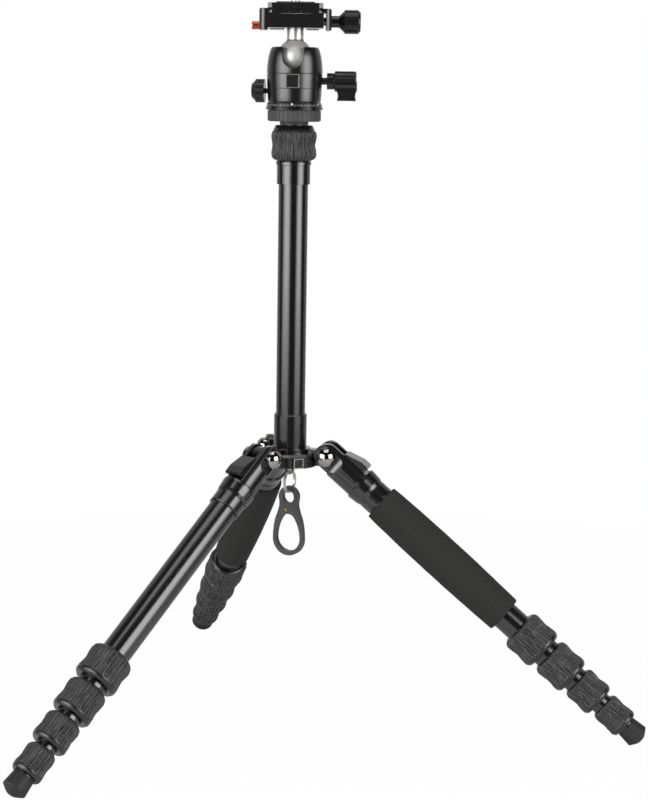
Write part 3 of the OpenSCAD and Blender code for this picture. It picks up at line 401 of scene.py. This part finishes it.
def lathe(rows, around):
    """Turned mesh from a closed outline of (radius, height) rows."""
    turned = bmesh.new()
    count = len(rows)
    rings = []
    for step in range(around):
        angle = 2 * math.pi * step / around
        east, north = math.cos(angle), math.sin(angle)
        rings.append([turned.verts.new((radius * east, radius * north, height))
                      for radius, height in rows])
    for step in range(around):
        here, there = rings[step], rings[(step + 1) % around]
        for row in range(count):
            after = (row + 1) % count
            turned.faces.new((here[row], there[row], there[after], here[after]))
    bmesh.ops.remove_doubles(turned, verts=turned.verts, dist=1e-4)
    bmesh.ops.recalc_face_normals(turned, faces=turned.faces)
    return turned


def smooth_rows(points, steps):
    """Catmull-Rom curve through (radius, height) points."""
    rows = []
    for index in range(len(points) - 1):
        ends = [points[min(max(index + shift, 0), len(points) - 1)] for shift in (-1, 0, 1, 2)]
        for step in range(steps):
            t = step / steps
            rows.append(tuple(
                0.5 * (2 * b + (c - a) * t + (2 * a - 5 * b + 4 * c - d) * t * t
                       + (3 * b - a - 3 * c + d) * t ** 3)
                for a, b, c, d in zip(*ends)))
    rows.append(tuple(points[-1]))
    return rows


def box(low, high, bevel, segments=2):
    """Box between two corners, with rounded edges."""
    made = bmesh.new()
    bmesh.ops.create_cube(made, size=1)
    low, size = Vector(low), Vector(high) - Vector(low)
    for vertex in made.verts:
        shares = vertex.co + Vector((0.5, 0.5, 0.5))
        vertex.co = low + size * shares
    bmesh.ops.bevel(made, geom=list(made.edges), offset=bevel, segments=segments,
                    profile=0.5, affect="EDGES")
    return made


def square_frame(side, rim, thick):
    """Thin square frame in the XZ plane with softened edges, its back at Y = 0."""
    made = bmesh.new()
    half, soft = side / 2, thick * 0.4
    section = ((half, 0), (half, soft - thick), (half - soft, -thick), (half - rim + soft, -thick),
               (half - rim, soft - thick), (half - rim, 0))
    loops = [[made.verts.new((x * reach, depth, z * reach))
              for x, z in ((-1, -1), (1, -1), (1, 1), (-1, 1))] for reach, depth in section]
    for first, second in zip(loops, loops[1:] + loops[:1]):
        for corner in range(4):
            after = (corner + 1) % 4
            made.faces.new((first[corner], first[after], second[after], second[corner]))
    bmesh.ops.recalc_face_normals(made, faces=made.faces)
    return made


def pebble(size):
    """Flat round drop of paint, size across in each direction."""
    made = bmesh.new()
    bmesh.ops.create_icosphere(made, subdivisions=3, radius=0.5)
    bmesh.ops.scale(made, vec=size, verts=made.verts)
    return made


def baked(name, made):
    """Mesh of a bmesh, which is freed."""
    mesh = bpy.data.meshes.new(name)
    made.to_mesh(mesh)
    made.free()
    return mesh


def linked(name, data):
    """New object in the scene's own collection."""
    made = bpy.data.objects.new(name, data)
    bpy.context.scene.collection.objects.link(made)
    return made


def join(meshes):
    """One bmesh out of several."""
    whole = meshes[0]
    for other in meshes[1:]:
        spare = baked("spare", other)
        whole.from_mesh(spare)
        bpy.data.meshes.remove(spare)
    return whole


def settle(name, made, place, body, finishes, stands_for=(), sharp=35):
    """Puts a finished mesh in the scene, in the row frame, riding on its body."""
    mesh = baked(name, made) if isinstance(made, bmesh.types.BMesh) else made
    mesh.name = name
    mesh.transform(place)
    mesh.polygons.foreach_set("use_smooth", [True] * len(mesh.polygons))
    mesh.set_sharp_from_angle(angle=math.radians(sharp))
    mesh.materials.clear()
    for material in finishes:
        mesh.materials.append(finish(material))
    piece = linked(name, mesh)
    if stands_for:
        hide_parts(*stands_for)
    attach(piece, body)
    return piece


def grown(name, tree, base, values):
    """Plain mesh of a Geometry Nodes tree on a base mesh, its inputs set by identifier."""
    carrier = linked(name, base)
    modifier = carrier.modifiers.new("Growth", "NODES")
    modifier.node_group = tree
    for item in tree.interface.items_tree:
        if item.item_type == "SOCKET" and item.in_out == "INPUT" and item.name in values:
            modifier[item.identifier] = values[item.name]
    depsgraph = bpy.context.evaluated_depsgraph_get()
    mesh = bpy.data.meshes.new_from_object(carrier.evaluated_get(depsgraph))
    carrier.modifiers.remove(modifier)
    bpy.data.objects.remove(carrier)
    if not mesh.polygons:
        raise RuntimeError(f"{name}: its node tree made no faces")
    return mesh


def geometry_tree(name, inputs):
    """Empty Geometry Nodes tree with named inputs, and its sockets by name."""
    group = bpy.data.node_groups.new(name, "GeometryNodeTree")
    tree = Tree(group)
    kinds = {float: "NodeSocketFloat", int: "NodeSocketInt"}
    group.interface.new_socket("Geometry", in_out="INPUT", socket_type="NodeSocketGeometry")
    for key, value in inputs.items():
        if value is None:
            group.interface.new_socket(key, in_out="INPUT", socket_type="NodeSocketMaterial")
        else:
            made = group.interface.new_socket(key, in_out="INPUT", socket_type=kinds[type(value)])
            made.default_value = value
    group.interface.new_socket("Geometry", in_out="OUTPUT", socket_type="NodeSocketGeometry")
    start = group.nodes.new("NodeGroupInput")
    return tree, {socket.name: Value(tree, socket) for socket in start.outputs if socket.name}


def close_tree(tree, geometry, material):
    """Ends a tree in Realize Instances and Set Material."""
    real = tree.node("GeometryNodeRealizeInstances", None, {0: geometry})
    painted = tree.node("GeometryNodeSetMaterial", None, {"Geometry": real, "Material": material})
    end = tree.tree.nodes.new("NodeGroupOutput")
    tree.tree.links.new(painted.socket, end.inputs[0])
    return tree.tree


def ribbed_lathe():
    """Tree that turns an outline into a grip with wavy, merging lengthwise ribs."""
    tree, given = geometry_tree("Ribbed lathe", {
        "Around": 220, "Ribs": 30.0, "Forks": 24.0, "Depth": 0.7, "Wave": 1.6, "Wave length": 9.0,
        "Fibre": 1.3, "Start": 0.0, "End": 20.0, "Fade": 1.2, "Inside": 8.0, "Seed": 0.0,
        "Material": None})
    outline = given["Geometry"]
    count = tree.node("GeometryNodeAttributeDomainSize", {"component": "MESH"}, {0: outline})
    grid = tree.node("GeometryNodeMeshGrid", None,
                     {0: 1.0, 1: 1.0, 2: given["Around"] + 1, 3: count})
    across, up, _ = tree.sockets(tree.node("GeometryNodeInputPosition"))
    row = tree.node("FunctionNodeFloatToInt", {"rounding_mode": "ROUND"},
                    {0: (up + 0.5) * (count - 1)})
    spot = tree.node("GeometryNodeSampleIndex", {"data_type": "FLOAT_VECTOR", "domain": "POINT"},
                     {"Geometry": outline, "Value": tree.node("GeometryNodeInputPosition"),
                      "Index": row})
    radius, _, height = tree.sockets(spot)
    angle = (across + 0.5) * (2 * math.pi)
    east, north = angle.math("COSINE"), angle.math("SINE")

    def surface(size, stretch, shift=0.0):
        """Place on the turned surface in steps of a size, stretched along it."""
        return tree.node("ShaderNodeCombineXYZ", None, {
            0: east * radius / size, 1: north * radius / size,
            2: height / (size * stretch) + given["Seed"] + shift})

    def waves(stretch, shift):
        """Smooth noise about zero on the turned surface."""
        vector = surface(given["Wave length"], stretch, shift)
        return tree.node("ShaderNodeTexNoise", None,
                         {"Vector": vector, "Scale": 1.6, "Detail": 1.0}) - 0.5

    def ridges(number, shift):
        """Sharp crests that wander about the axis, a number of them round the grip."""
        wander = waves(stretch=2.6, shift=shift) * given["Wave"] * 6.0
        drift = waves(stretch=5.0, shift=shift + 7.3) * 4.0
        phase = angle * number + wander + drift
        return (phase.math("SINE") * 0.5 + 0.5).math("POWER", 1.7)

    fork_height, fork_shift, fibre_depth = 0.85, 21.7, 0.35
    fibre = tree.node("ShaderNodeTexNoise", None, {
        "Vector": surface(given["Fibre"], stretch=8), "Scale": 1.0, "Detail": 2.0})
    streak = tree.step(fibre, low=0.36, high=0.64)
    forks = ridges(given["Forks"], fork_shift) * fork_height
    crest = ridges(given["Ribs"], 0.0).math("MAXIMUM", forks)
    vary = tree.step(waves(stretch=2.2, shift=3.1), low=-0.25, high=0.05, rise=(0.45, 1.0))
    rising = tree.step(height, given["Start"], given["Start"] + given["Fade"])
    falling = tree.step(height, given["End"] - given["Fade"], given["End"], rise=(1, 0))
    outside = tree.math("GREATER_THAN", radius, given["Inside"])
    ribbed = rising * falling * outside
    valley = (1 - crest) * vary + (1 - streak) * fibre_depth
    carved = radius - valley * ribbed * given["Depth"]
    stored = {"data_type": "FLOAT", "domain": "POINT"}
    # The crest value is stored so that the lock rubber can paint the crests pale and the valleys dark, as painted
    # highlight and painted shade.
    for name, value in (("crest", crest * 0.6 + streak * 0.4), ("ribbed", ribbed)):
        grid = tree.node("GeometryNodeStoreNamedAttribute", stored,
                         {"Geometry": grid, "Name": name, "Value": value})
    place = tree.node("ShaderNodeCombineXYZ", None,
                      {0: carved * east, 1: carved * north, 2: height})
    turned = tree.node("GeometryNodeSetPosition", None, {"Geometry": grid, "Position": place})
    merged = tree.node("GeometryNodeMergeByDistance", None,
                       {"Geometry": turned, "Distance": WELD})
    return close_tree(tree, merged, given["Material"])


def outline_mesh(rows):
    """Poly line of (radius, height) rows in the XZ plane."""
    mesh = bpy.data.meshes.new("outline")
    mesh.from_pydata([(radius, 0, height) for radius, height in rows],
                     [(index, index + 1) for index in range(len(rows) - 1)], [])
    return mesh


def cleaned(mesh):
    """Merges a grown mesh's doubles and turns its faces outwards."""
    tidy = bmesh.new()
    tidy.from_mesh(mesh)
    bmesh.ops.remove_doubles(tidy, verts=tidy.verts, dist=WELD)
    bmesh.ops.recalc_face_normals(tidy, faces=tidy.faces)
    tidy.to_mesh(mesh)
    tidy.free()
    return mesh


def tick_ring():
    """Tree of fine scale marks round a cone, every fifth one longer."""
    tree, given = geometry_tree("Tick ring", {
        "Count": 120, "Radius": 20.0, "Lean": 0.0, "Width": 0.25, "Height": 1.0, "Thickness": 0.12,
        "Material": None})
    ring = tree.node("GeometryNodeMeshCircle", {"fill_type": "NONE"},
                     {"Vertices": given["Count"], "Radius": given["Radius"]})
    east, north, _ = tree.sockets(tree.node("GeometryNodeInputPosition"))
    number = tree.node("GeometryNodeInputIndex")
    long_every, long_extra = 5.0, 0.8
    long = tree.math("LESS_THAN", number.math("MODULO", long_every), 0.5)
    size = tree.node("ShaderNodeCombineXYZ", None,
                     {0: given["Thickness"], 1: given["Width"], 2: given["Height"]})
    mark = tree.node("GeometryNodeMeshCube", None, {"Size": size})
    turn = tree.node("ShaderNodeCombineXYZ", None,
                     {1: given["Lean"], 2: north.math("ARCTAN2", east)})
    grow = tree.node("ShaderNodeCombineXYZ", None, {0: 1.0, 1: 1.0, 2: long * long_extra + 1})
    marks = tree.node("GeometryNodeInstanceOnPoints", None,
                      {"Points": ring, "Instance": mark, "Rotation": turn, "Scale": grow})
    return close_tree(tree, marks, given["Material"])


# Settings


class TripodFoam(bpy.types.PropertyGroup):
    """Foam grips"""
    diameter: bpy.props.FloatProperty(
        name="Diameter", description="Widest diameter of a grip, in millimetres",
        default=31.3, min=28, max=33)
    edge: bpy.props.FloatProperty(
        name="Cut edge", description="Rounding of the cut ends, in millimetres", default=1.3)


class TripodGrips(bpy.types.PropertyGroup):
    """Rubber grips of the twist locks"""
    pitch: bpy.props.FloatProperty(
        name="Rib pitch", description="Distance between ribs round a lock, in millimetres",
        default=2.4, min=1)
    depth: bpy.props.FloatProperty(
        name="Rib depth", description="Depth of the valleys between ribs, in millimetres",
        default=0.95, min=0)
    wave: bpy.props.FloatProperty(
        name="Wave", description="How far the ribs wander", default=1.1, min=0)


class TripodStudio(bpy.types.PropertyGroup):
    """Floor, lamps and camera"""
    floor_size: bpy.props.FloatProperty(
        name="Floor", description="Radius of the floor", default=0.75, unit="LENGTH")
    key: bpy.props.FloatProperty(
        name="Softboxes", description="Radiance of which each softbox takes a share",
        default=4.9)
    ambient: bpy.props.FloatProperty(
        name="Room", description="Light of the room on the object", default=0.25)


# Operators


class TRIPOD_OT_finishes(bpy.types.Operator):
    """Paint the CAD nodes with procedural finishes"""
    bl_idname = "tripod.finishes"
    bl_label = "Finishes"

    def execute(self, context):
        made = {
            "gloss_black": gloss_black(), "satin_black": satin_black(),
            "black_plastic": moulded_black(), "grip_rubber": grip_rubber(),
            "lock_rubber": lock_rubber(), "disc_skin": grip_rubber("Disc skin", dark=1.2),
            "foot_rubber": grip_rubber("Foot rubber", (0.9, 0.95, 1.08), dark=0.15),
            "foam": foam(),
            "steel": satin_metal("Satin steel", (0.72, 0.71, 0.68), 0.33, metallic=0.85),
            "ball_steel": satin_metal("Blasted steel", (0.78, 0.775, 0.755), 0.4,
                                      grain_depth=0.003, metallic=0.6),
            "dark_chrome": satin_metal("Dark chrome", (0.42, 0.39, 0.37), 0.07,
                                       grain_depth=0.001),
            # Pale metal of the clamp's edge strips, which are painted highlights.
            "bright_edge": satin_metal("Bright edge", (0.62, 0.62, 0.62), 0.28),
            "badge_metal": satin_metal("Badge metal", (0.4, 0.385, 0.35), 0.3),
            "grey_anodised": hook_grey(), "safety_orange": safety_orange(),
            "index_white": index_paint("Index white", 0.74),
            "scale_grey": index_paint("Scale grey", 0.36),
        }
        made.update({f"{leg}_tube": tube_black(leg) for leg in LEGS})
        made["column_tube"] = tube_black("column")
        FINISHES.update(made)
        slots = {part["node"]: part["material_slot"] for part in frame["record"]["subparts"]}
        for node, piece in frame["nodes"].items():
            chosen = slots[node]
            if "_tube_" in node:
                chosen = node.split("_")[0] + "_tube"
            elif node.endswith("_foot"):
                chosen = "foot_rubber"
            elif node in ("column_tube", "inner_column"):
                chosen = "column_tube"
            elif node in ("platform_disc", "ball"):
                chosen = {"platform_disc": "disc_skin", "ball": "ball_steel"}[node]
            for slot in piece.material_slots:
                slot.material = made[chosen]
        return {"FINISHED"}


class TRIPOD_OT_foam_grips(bpy.types.Operator):
    """Foam sleeves with a slightly uneven skin and rounded cut ends"""
    bl_idname = "tripod.foam_grips"
    bl_label = "Foam grips"

    # The sleeve's radius and place along it, as shares of its own
    swell = ((0.93, 0.0), (0.955, 0.08), (0.993, 0.3), (1.0, 0.45), (0.995, 0.65),
             (0.955, 0.88), (0.93, 1.0))
    bore = TUBE_WIDTHS[0] / 2 + 0.05
    lumps = ((9.0, 0.16), (2.5, 0.05))  # size and height, in millimetres
    skin = 0.1  # how far the skin lies below the outline
    round_wall = 0.5  # of the sleeve next to its bore, left round

    def execute(self, context):
        sizes = context.scene.tripod_foam
        for leg in GRIPPED:
            node = f"{leg}_foam_grip"
            start, end = along_leg(leg, node)
            radius, edge, length = sizes.diameter / 2, sizes.edge, end - start
            side = smooth_rows([(radius * r, start + edge + (length - 2 * edge) * s)
                                for r, s in self.swell], 16)
            first, last = side[0][0] - edge, side[-1][0] - edge
            turns = [math.radians(15 * step) for step in range(1, 6)]
            top = [(first + edge * math.sin(a), start + edge - edge * math.cos(a)) for a in turns]
            foot = [(last + edge * math.cos(a), end - edge + edge * math.sin(a)) for a in turns]
            rows = [(self.bore, start), (first, start)] + top + side + foot + [
                (last, end), (self.bore, end)]
            made = lathe(rows, 120)
            for vertex in made.verts:
                reach = math.hypot(vertex.co.x, vertex.co.y)
                if reach > self.bore + self.round_wall:
                    lump = sum(noise.noise(vertex.co / size) * height
                               for size, height in self.lumps)
                    vertex.co.xy *= (reach + lump - self.skin) / reach
            piece = settle(node + "_sleeve", made, leg_frame(leg), f"{leg}_leg",
                           ["foam"], (node,), 60)
        return {"FINISHED"}


class TRIPOD_OT_lock_grips(bpy.types.Operator):
    """Twist locks with bark-like rubber ribs, grown by Geometry Nodes"""
    bl_idname = "tripod.lock_grips"
    bl_label = "Lock grips"

    # A grip's radius and place along it, as shares of its own
    shares = ((0.76, 0.0), (0.84, 0.03), (0.95, 0.09), (0.995, 0.18), (0.99, 0.3), (0.95, 0.5),
              (0.985, 0.7), (1.0, 0.8), (0.98, 0.92), (0.88, 1.0))
    widths = (33.4, 30.6, 27.4, 23.3)  # the four locks of a leg, from the top
    clearance = 0.3  # round a tube
    overlap = 1.5  # how much higher the rubber starts than the lock
    fork_share = 0.74  # forks for each rib
    rib_start, rib_fade = 0.02, 0.06  # shares of a grip's length
    core = 0.72  # share of the radius inside which nothing is carved

    def grip(self, tree, sizes, name, place, radius, start, end, bore, throat, seed, cone=None):
        """One grip: its ribs end in a smooth band with a rim, or at a cone."""
        length = end - start
        side = smooth_rows([(radius * r, start + length * s) for r, s in self.shares], 7)
        rim = [(side[-1][0] - 0.6, end)]
        cap, lip_depth, band = (cone, 1, 0.01) if cone else (rim, 4, 0.13)
        lip = end - lip_depth
        rows = [(bore, start)] + side + cap + [(throat, cap[-1][1]), (throat, lip), (bore, lip),
                                               (bore, start)]
        ribs = round(2 * math.pi * radius / sizes.pitch)
        values = {"Around": 340, "Ribs": float(ribs),
                  "Forks": float(round(ribs * self.fork_share)),
                  "Depth": sizes.depth, "Wave": sizes.wave,
                  "Start": start + self.rib_start * length, "End": end - band * length,
                  "Fade": self.rib_fade * length, "Inside": radius * self.core, "Seed": seed,
                  "Material": finish("lock_rubber")}
        mesh = cleaned(grown(name, tree, outline_mesh(rows), values))
        return settle(name + "_grip", mesh, place, name, ["lock_rubber"],
                      (name,), 50)

    def execute(self, context):
        sizes = context.scene.tripod_grips
        tree = ribbed_lathe()
        bores = [width / 2 + self.clearance for width in TUBE_WIDTHS]
        for turn, leg in enumerate(LEGS):
            place = leg_frame(leg)
            for index, width in enumerate(self.widths):
                name = f"{leg}_lock_{index + 1}"
                start, end = along_leg(leg, name)
                self.grip(tree, sizes, name, place, width / 2, start - self.overlap, end,
                          bores[index], bores[index + 1], seed=turn * 17.0 + index * 5.3)
        height = 22.6
        outline = ((15.3, 0), (15.45, 0.3), (14.1, 3.1), (13.7, 3.3), (13.4, 3.6))
        cone = [(radius, height + rise) for radius, rise in outline]
        self.grip(tree, sizes, "column_lock", post_frame("column_lock"), radius=17.0, start=0.0,
                  end=height, bore=11.4, throat=9.4, seed=61.0, cone=cone)
        return {"FINISHED"}


class TRIPOD_OT_marks(bpy.types.Operator):
    """Frames of the bare badges, and the panning scale with its index dots"""
    bl_idname = "tripod.marks"
    bl_label = "Badges and scale"

    def execute(self, context):
        head, hub = head_frame(), badge_frame()
        front = reach_of("head_housing", head, 1)[0]
        foot = reach_of("head_housing", head, 2)[0]
        head_lift, hub_drop, thick = 15.6, 4.5, 0.07
        lift = Matrix.Translation((0, front, foot + head_lift))
        settle("housing_badge_frame", square_frame(side=9.9, rim=0.55, thick=thick), head @ lift,
               "head", ["badge_metal"])
        lift = Matrix.Translation((0, reach_of("hub", hub, 1)[0], -hub_drop))
        settle("hub_badge_frame", square_frame(side=7.5, rim=0.65, thick=thick), hub @ lift,
               "hub", ["badge_metal"])
        self.scale(post_frame(), foot)
        return {"FINISHED"}

    def scale(self, post, foot):
        """Marks and dots lie on the scale ring's cone, which narrows towards its top."""
        cone_radius, cone_height, narrowing, cone_drop = 21.5, 5.2, 1.5, 5.5
        mark_height, dot_height, dot_size = 3.4, 4.3, (0.3, 1.5, 1.5)
        low, lean = foot - cone_drop, math.atan2(narrowing, cone_height)

        def radius(height):
            return cone_radius - narrowing * height / cone_height

        values = {"Count": 120, "Radius": radius(mark_height), "Lean": -lean, "Width": 0.26,
                  "Height": 1.1, "Thickness": 0.1, "Material": finish("scale_grey")}
        marks = grown("scale", tick_ring(), bpy.data.meshes.new("scale"), values)
        lift = Matrix.Translation((0, 0, low + mark_height))
        settle("scale_marks", marks, post @ lift, "upper_column", ["scale_grey"])
        dots = []
        shift = Matrix.Translation((radius(dot_height), 0, low + dot_height))
        for azimuth in (-95.3, -30.3):
            dot = pebble(dot_size)
            turn = Matrix.Rotation(math.radians(azimuth), 4, "Z")
            bmesh.ops.transform(dot, verts=dot.verts,
                                matrix=turn @ shift @ Matrix.Rotation(-lean, 4, "Y"))
            dots.append(dot)
        settle("scale_index_dots", join(dots), post, "upper_column",
               ["index_white"])


class TRIPOD_OT_clamp_trims(bpy.types.Operator):
    """Base plates under the clamp's block, with pale metal strips on its front edges as painted highlights"""
    bl_idname = "tripod.clamp_trims"
    bl_label = "Clamp trims"

    def execute(self, context):
        post = post_frame()
        block_drop, block_height, thick = 4.6, 10.4, 1.3
        foot = reach_of("ball_neck", post, 2)[1] - block_drop
        top = foot + block_height
        front, back = -18.5, 18.2
        plates = [box((left, front, foot - thick), (right, back, foot), bevel=0.2)
                  for left, right in ((-19, -8.2), (8.2, 17.4))]
        settle("clamp_base_plates", join(plates), post, "clamp", ["satin_black"])
        # Pale metal strips along the block's lower front edge and its top front edge: painted highlights where the
        # chamfered edges catch the light.
        low, high, front, back = foot - 0.85, foot - 0.05, -19.3, -18.1
        edges = [box((left, front, low), (right, back, high), bevel=0.36, segments=1)
                 for left, right in ((-20.2, -7.6), (7.6, 20.4))]
        half, low, high, front, back = 10.8, top - 0.4, top - 0.04, -19.15, -18.8
        edges.append(box((-half, front, low), (half, back, high), bevel=0.15, segments=1))
        settle("clamp_edge_highlights", join(edges), post, "clamp", ["bright_edge"])
        return {"FINISHED"}


class TRIPOD_OT_studio(bpy.types.Operator):
    """Pale floor, white surroundings, softboxes and the camera"""
    bl_idname = "tripod.studio"
    bl_label = "Studio"

    def execute(self, context):
        sizes = context.scene.tripod_studio
        self.floor(sizes)
        self.room(sizes)
        self.lamps(sizes)
        self.camera(context)
        context.scene.view_settings.view_transform = "Standard"
        return {"FINISHED"}

    def floor(self, sizes):
        """Paper that the camera sees as nearly pure white."""
        white_share = 0.97
        disc = bmesh.new()
        bmesh.ops.create_circle(disc, cap_ends=True, segments=128, radius=sizes.floor_size)
        mesh = baked("floor", disc)
        paper = Finish("Floor paper", (0.8, 0.8, 0.8), roughness=0.9)
        grain = paper.noise(paper.place, scale=300, detail=2, roughness=0.5)
        paper.feed("Base Color", paper.blend(grain, (0.78, 0.78, 0.78), (0.82, 0.82, 0.82)))
        seen = paper.node("ShaderNodeLightPath")
        glow = paper.node("ShaderNodeEmission", None, {"Color": (1, 1, 1, 1), "Strength": 1.0})
        shader = Value(paper, paper.shader.outputs[0])
        mixed = paper.node("ShaderNodeMixShader", None,
                           {0: seen * white_share, 1: shader, 2: glow})
        end = next(node for node in paper.tree.nodes if node.type == "OUTPUT_MATERIAL")
        paper.tree.links.new(mixed.socket, end.inputs[0])
        mesh.materials.append(paper.material)
        floor = linked("floor", mesh)

    def room(self, sizes):
        """White to the camera, dark in reflections except behind the tripod."""
        dark = 0.012
        world = bpy.data.worlds.new("Studio")
        world.use_nodes = True
        bpy.context.scene.world = world
        tree = Tree(world.node_tree)
        path = tree.node("ShaderNodeLightPath")
        shown = path.socket.node.outputs
        camera, glossy = Value(tree, shown["Is Camera Ray"]), Value(tree, shown["Is Glossy Ray"])
        clear = Value(tree, shown["Is Transmission Ray"])
        _, back, _ = tree.sockets(tree.node("ShaderNodeTexCoord", output=0))
        behind = (tree.step(back, low=0.1, high=0.5) * 0.5
                  + tree.step(back, low=0.7, high=0.97) * 0.5)
        mirrored = glossy * (dark + behind * (1 - dark))
        rest = (1 - camera - glossy - clear).math("MAXIMUM", 0.0) * sizes.ambient
        strength = camera + clear + mirrored + rest
        glow = tree.node("ShaderNodeBackground", None,
                         {"Color": (1, 1, 1, 1), "Strength": strength})
        end = tree.tree.nodes.new("ShaderNodeOutputWorld")
        tree.tree.links.new(glow.socket, end.inputs[0])

    def lamps(self, sizes):
        """Softboxes, the front two with a brighter core, that face the tripod's middle."""
        middle = Vector((-0.03, -0.03, 0.25))
        # Name, azimuth and rise in degrees, distance, width, height, share of the radiance
        boxes = (("Left softbox", -50, 11, 1.9, 2.3, 1.4, 0.5),
                 ("Left core", -47, 13, 1.88, 1.2, 1.15, 0.65),
                 ("Right softbox", 51, 11, 1.9, 1.7, 1.4, 0.5),
                 ("Right core", 51, 13, 1.88, 0.9, 1.15, 0.65),
                 ("Top softbox", 0, 80, 1.8, 1.3, 1.3, 0.4))
        for name, azimuth, rise, far, wide, high, share in boxes:
            a, e = math.radians(azimuth), math.radians(rise)
            away = Vector((math.sin(a) * math.cos(e), -math.cos(a) * math.cos(e), math.sin(e)))
            lamp = bpy.data.lights.new(name, "AREA")
            lamp.shape = "RECTANGLE"
            lamp.size, lamp.size_y = wide, high
            lamp.energy = sizes.key * share * math.pi * wide * high
            holder = linked(name, lamp)
            holder.location = middle + away * far
            holder.rotation_euler = away.to_track_quat("Z", "Y").to_euler()

    def camera(self, context):
        """The photograph's camera: its place, turns and lens were fitted to the tripod."""
        pitch, yaw, roll = (math.radians(turn) for turn in (9.55, 0.71, 0.84))
        away, photo_height, focal_pixels = Vector((0, -1.578, 0.2863)), 800, 2100
        ahead = Vector((math.sin(yaw) * math.cos(pitch), math.cos(yaw) * math.cos(pitch),
                        -math.sin(pitch)))
        right = Vector((math.cos(yaw), -math.sin(yaw), 0))
        up = right.cross(ahead)
        across = math.cos(roll) * right + math.sin(roll) * up
        upward = math.cos(roll) * up - math.sin(roll) * right
        lens = bpy.data.cameras.new("Camera")
        lens.sensor_fit = "VERTICAL"
        lens.sensor_height = 36
        lens.lens = focal_pixels * lens.sensor_height / photo_height
        lens.shift_x, lens.shift_y = 0.01, 0.0325
        lens.clip_end = 50
        camera = linked("Camera", lens)
        turn = Matrix((across, upward, -ahead)).transposed().to_4x4()
        spot = post_frame().translation + away
        camera.matrix_world = Matrix.Translation(spot) @ turn
        context.scene.camera = camera


class TRIPOD_PT_panel(bpy.types.Panel):
    """The tripod's pieces and their settings"""
    bl_idname = "TRIPOD_PT_panel"
    bl_label = "Travel tripod"
    bl_space_type = "VIEW_3D"
    bl_region_type = "UI"
    bl_category = "Tripod"

    def draw(self, context):
        for group in SETTINGS:
            box = self.layout.box()
            box.label(text=group.__doc__)
            settings = getattr(context.scene, setting_name(group))
            for key in group.__annotations__:
                box.prop(settings, key)
        for operator in OPERATORS:
            self.layout.operator(operator.bl_idname)


SETTINGS = (TripodFoam, TripodGrips, TripodStudio)
OPERATORS = (TRIPOD_OT_finishes, TRIPOD_OT_foam_grips, TRIPOD_OT_lock_grips, TRIPOD_OT_marks,
             TRIPOD_OT_clamp_trims, TRIPOD_OT_studio)


def setting_name(group):
    """Name of a settings group on the scene."""
    return "tripod_" + group.__name__[len("Tripod"):].lower()


def register():
    """Registers the settings, the operators and the panel."""
    for group in SETTINGS:
        bpy.utils.register_class(group)
        setattr(bpy.types.Scene, setting_name(group), bpy.props.PointerProperty(type=group))
    for operator in OPERATORS:
        bpy.utils.register_class(operator)
    bpy.utils.register_class(TRIPOD_PT_panel)


def unregister():
    """Takes back what register did."""
    bpy.utils.unregister_class(TRIPOD_PT_panel)
    for operator in reversed(OPERATORS):
        bpy.utils.unregister_class(operator)
    for group in reversed(SETTINGS):
        delattr(bpy.types.Scene, setting_name(group))
        bpy.utils.unregister_class(group)


def main():
    register()
    for operator in OPERATORS:
        group, name = operator.bl_idname.split(".")
        getattr(getattr(bpy.ops, group), name)()
    bpy.context.view_layer.update()


if __name__ == "__main__":
    main()
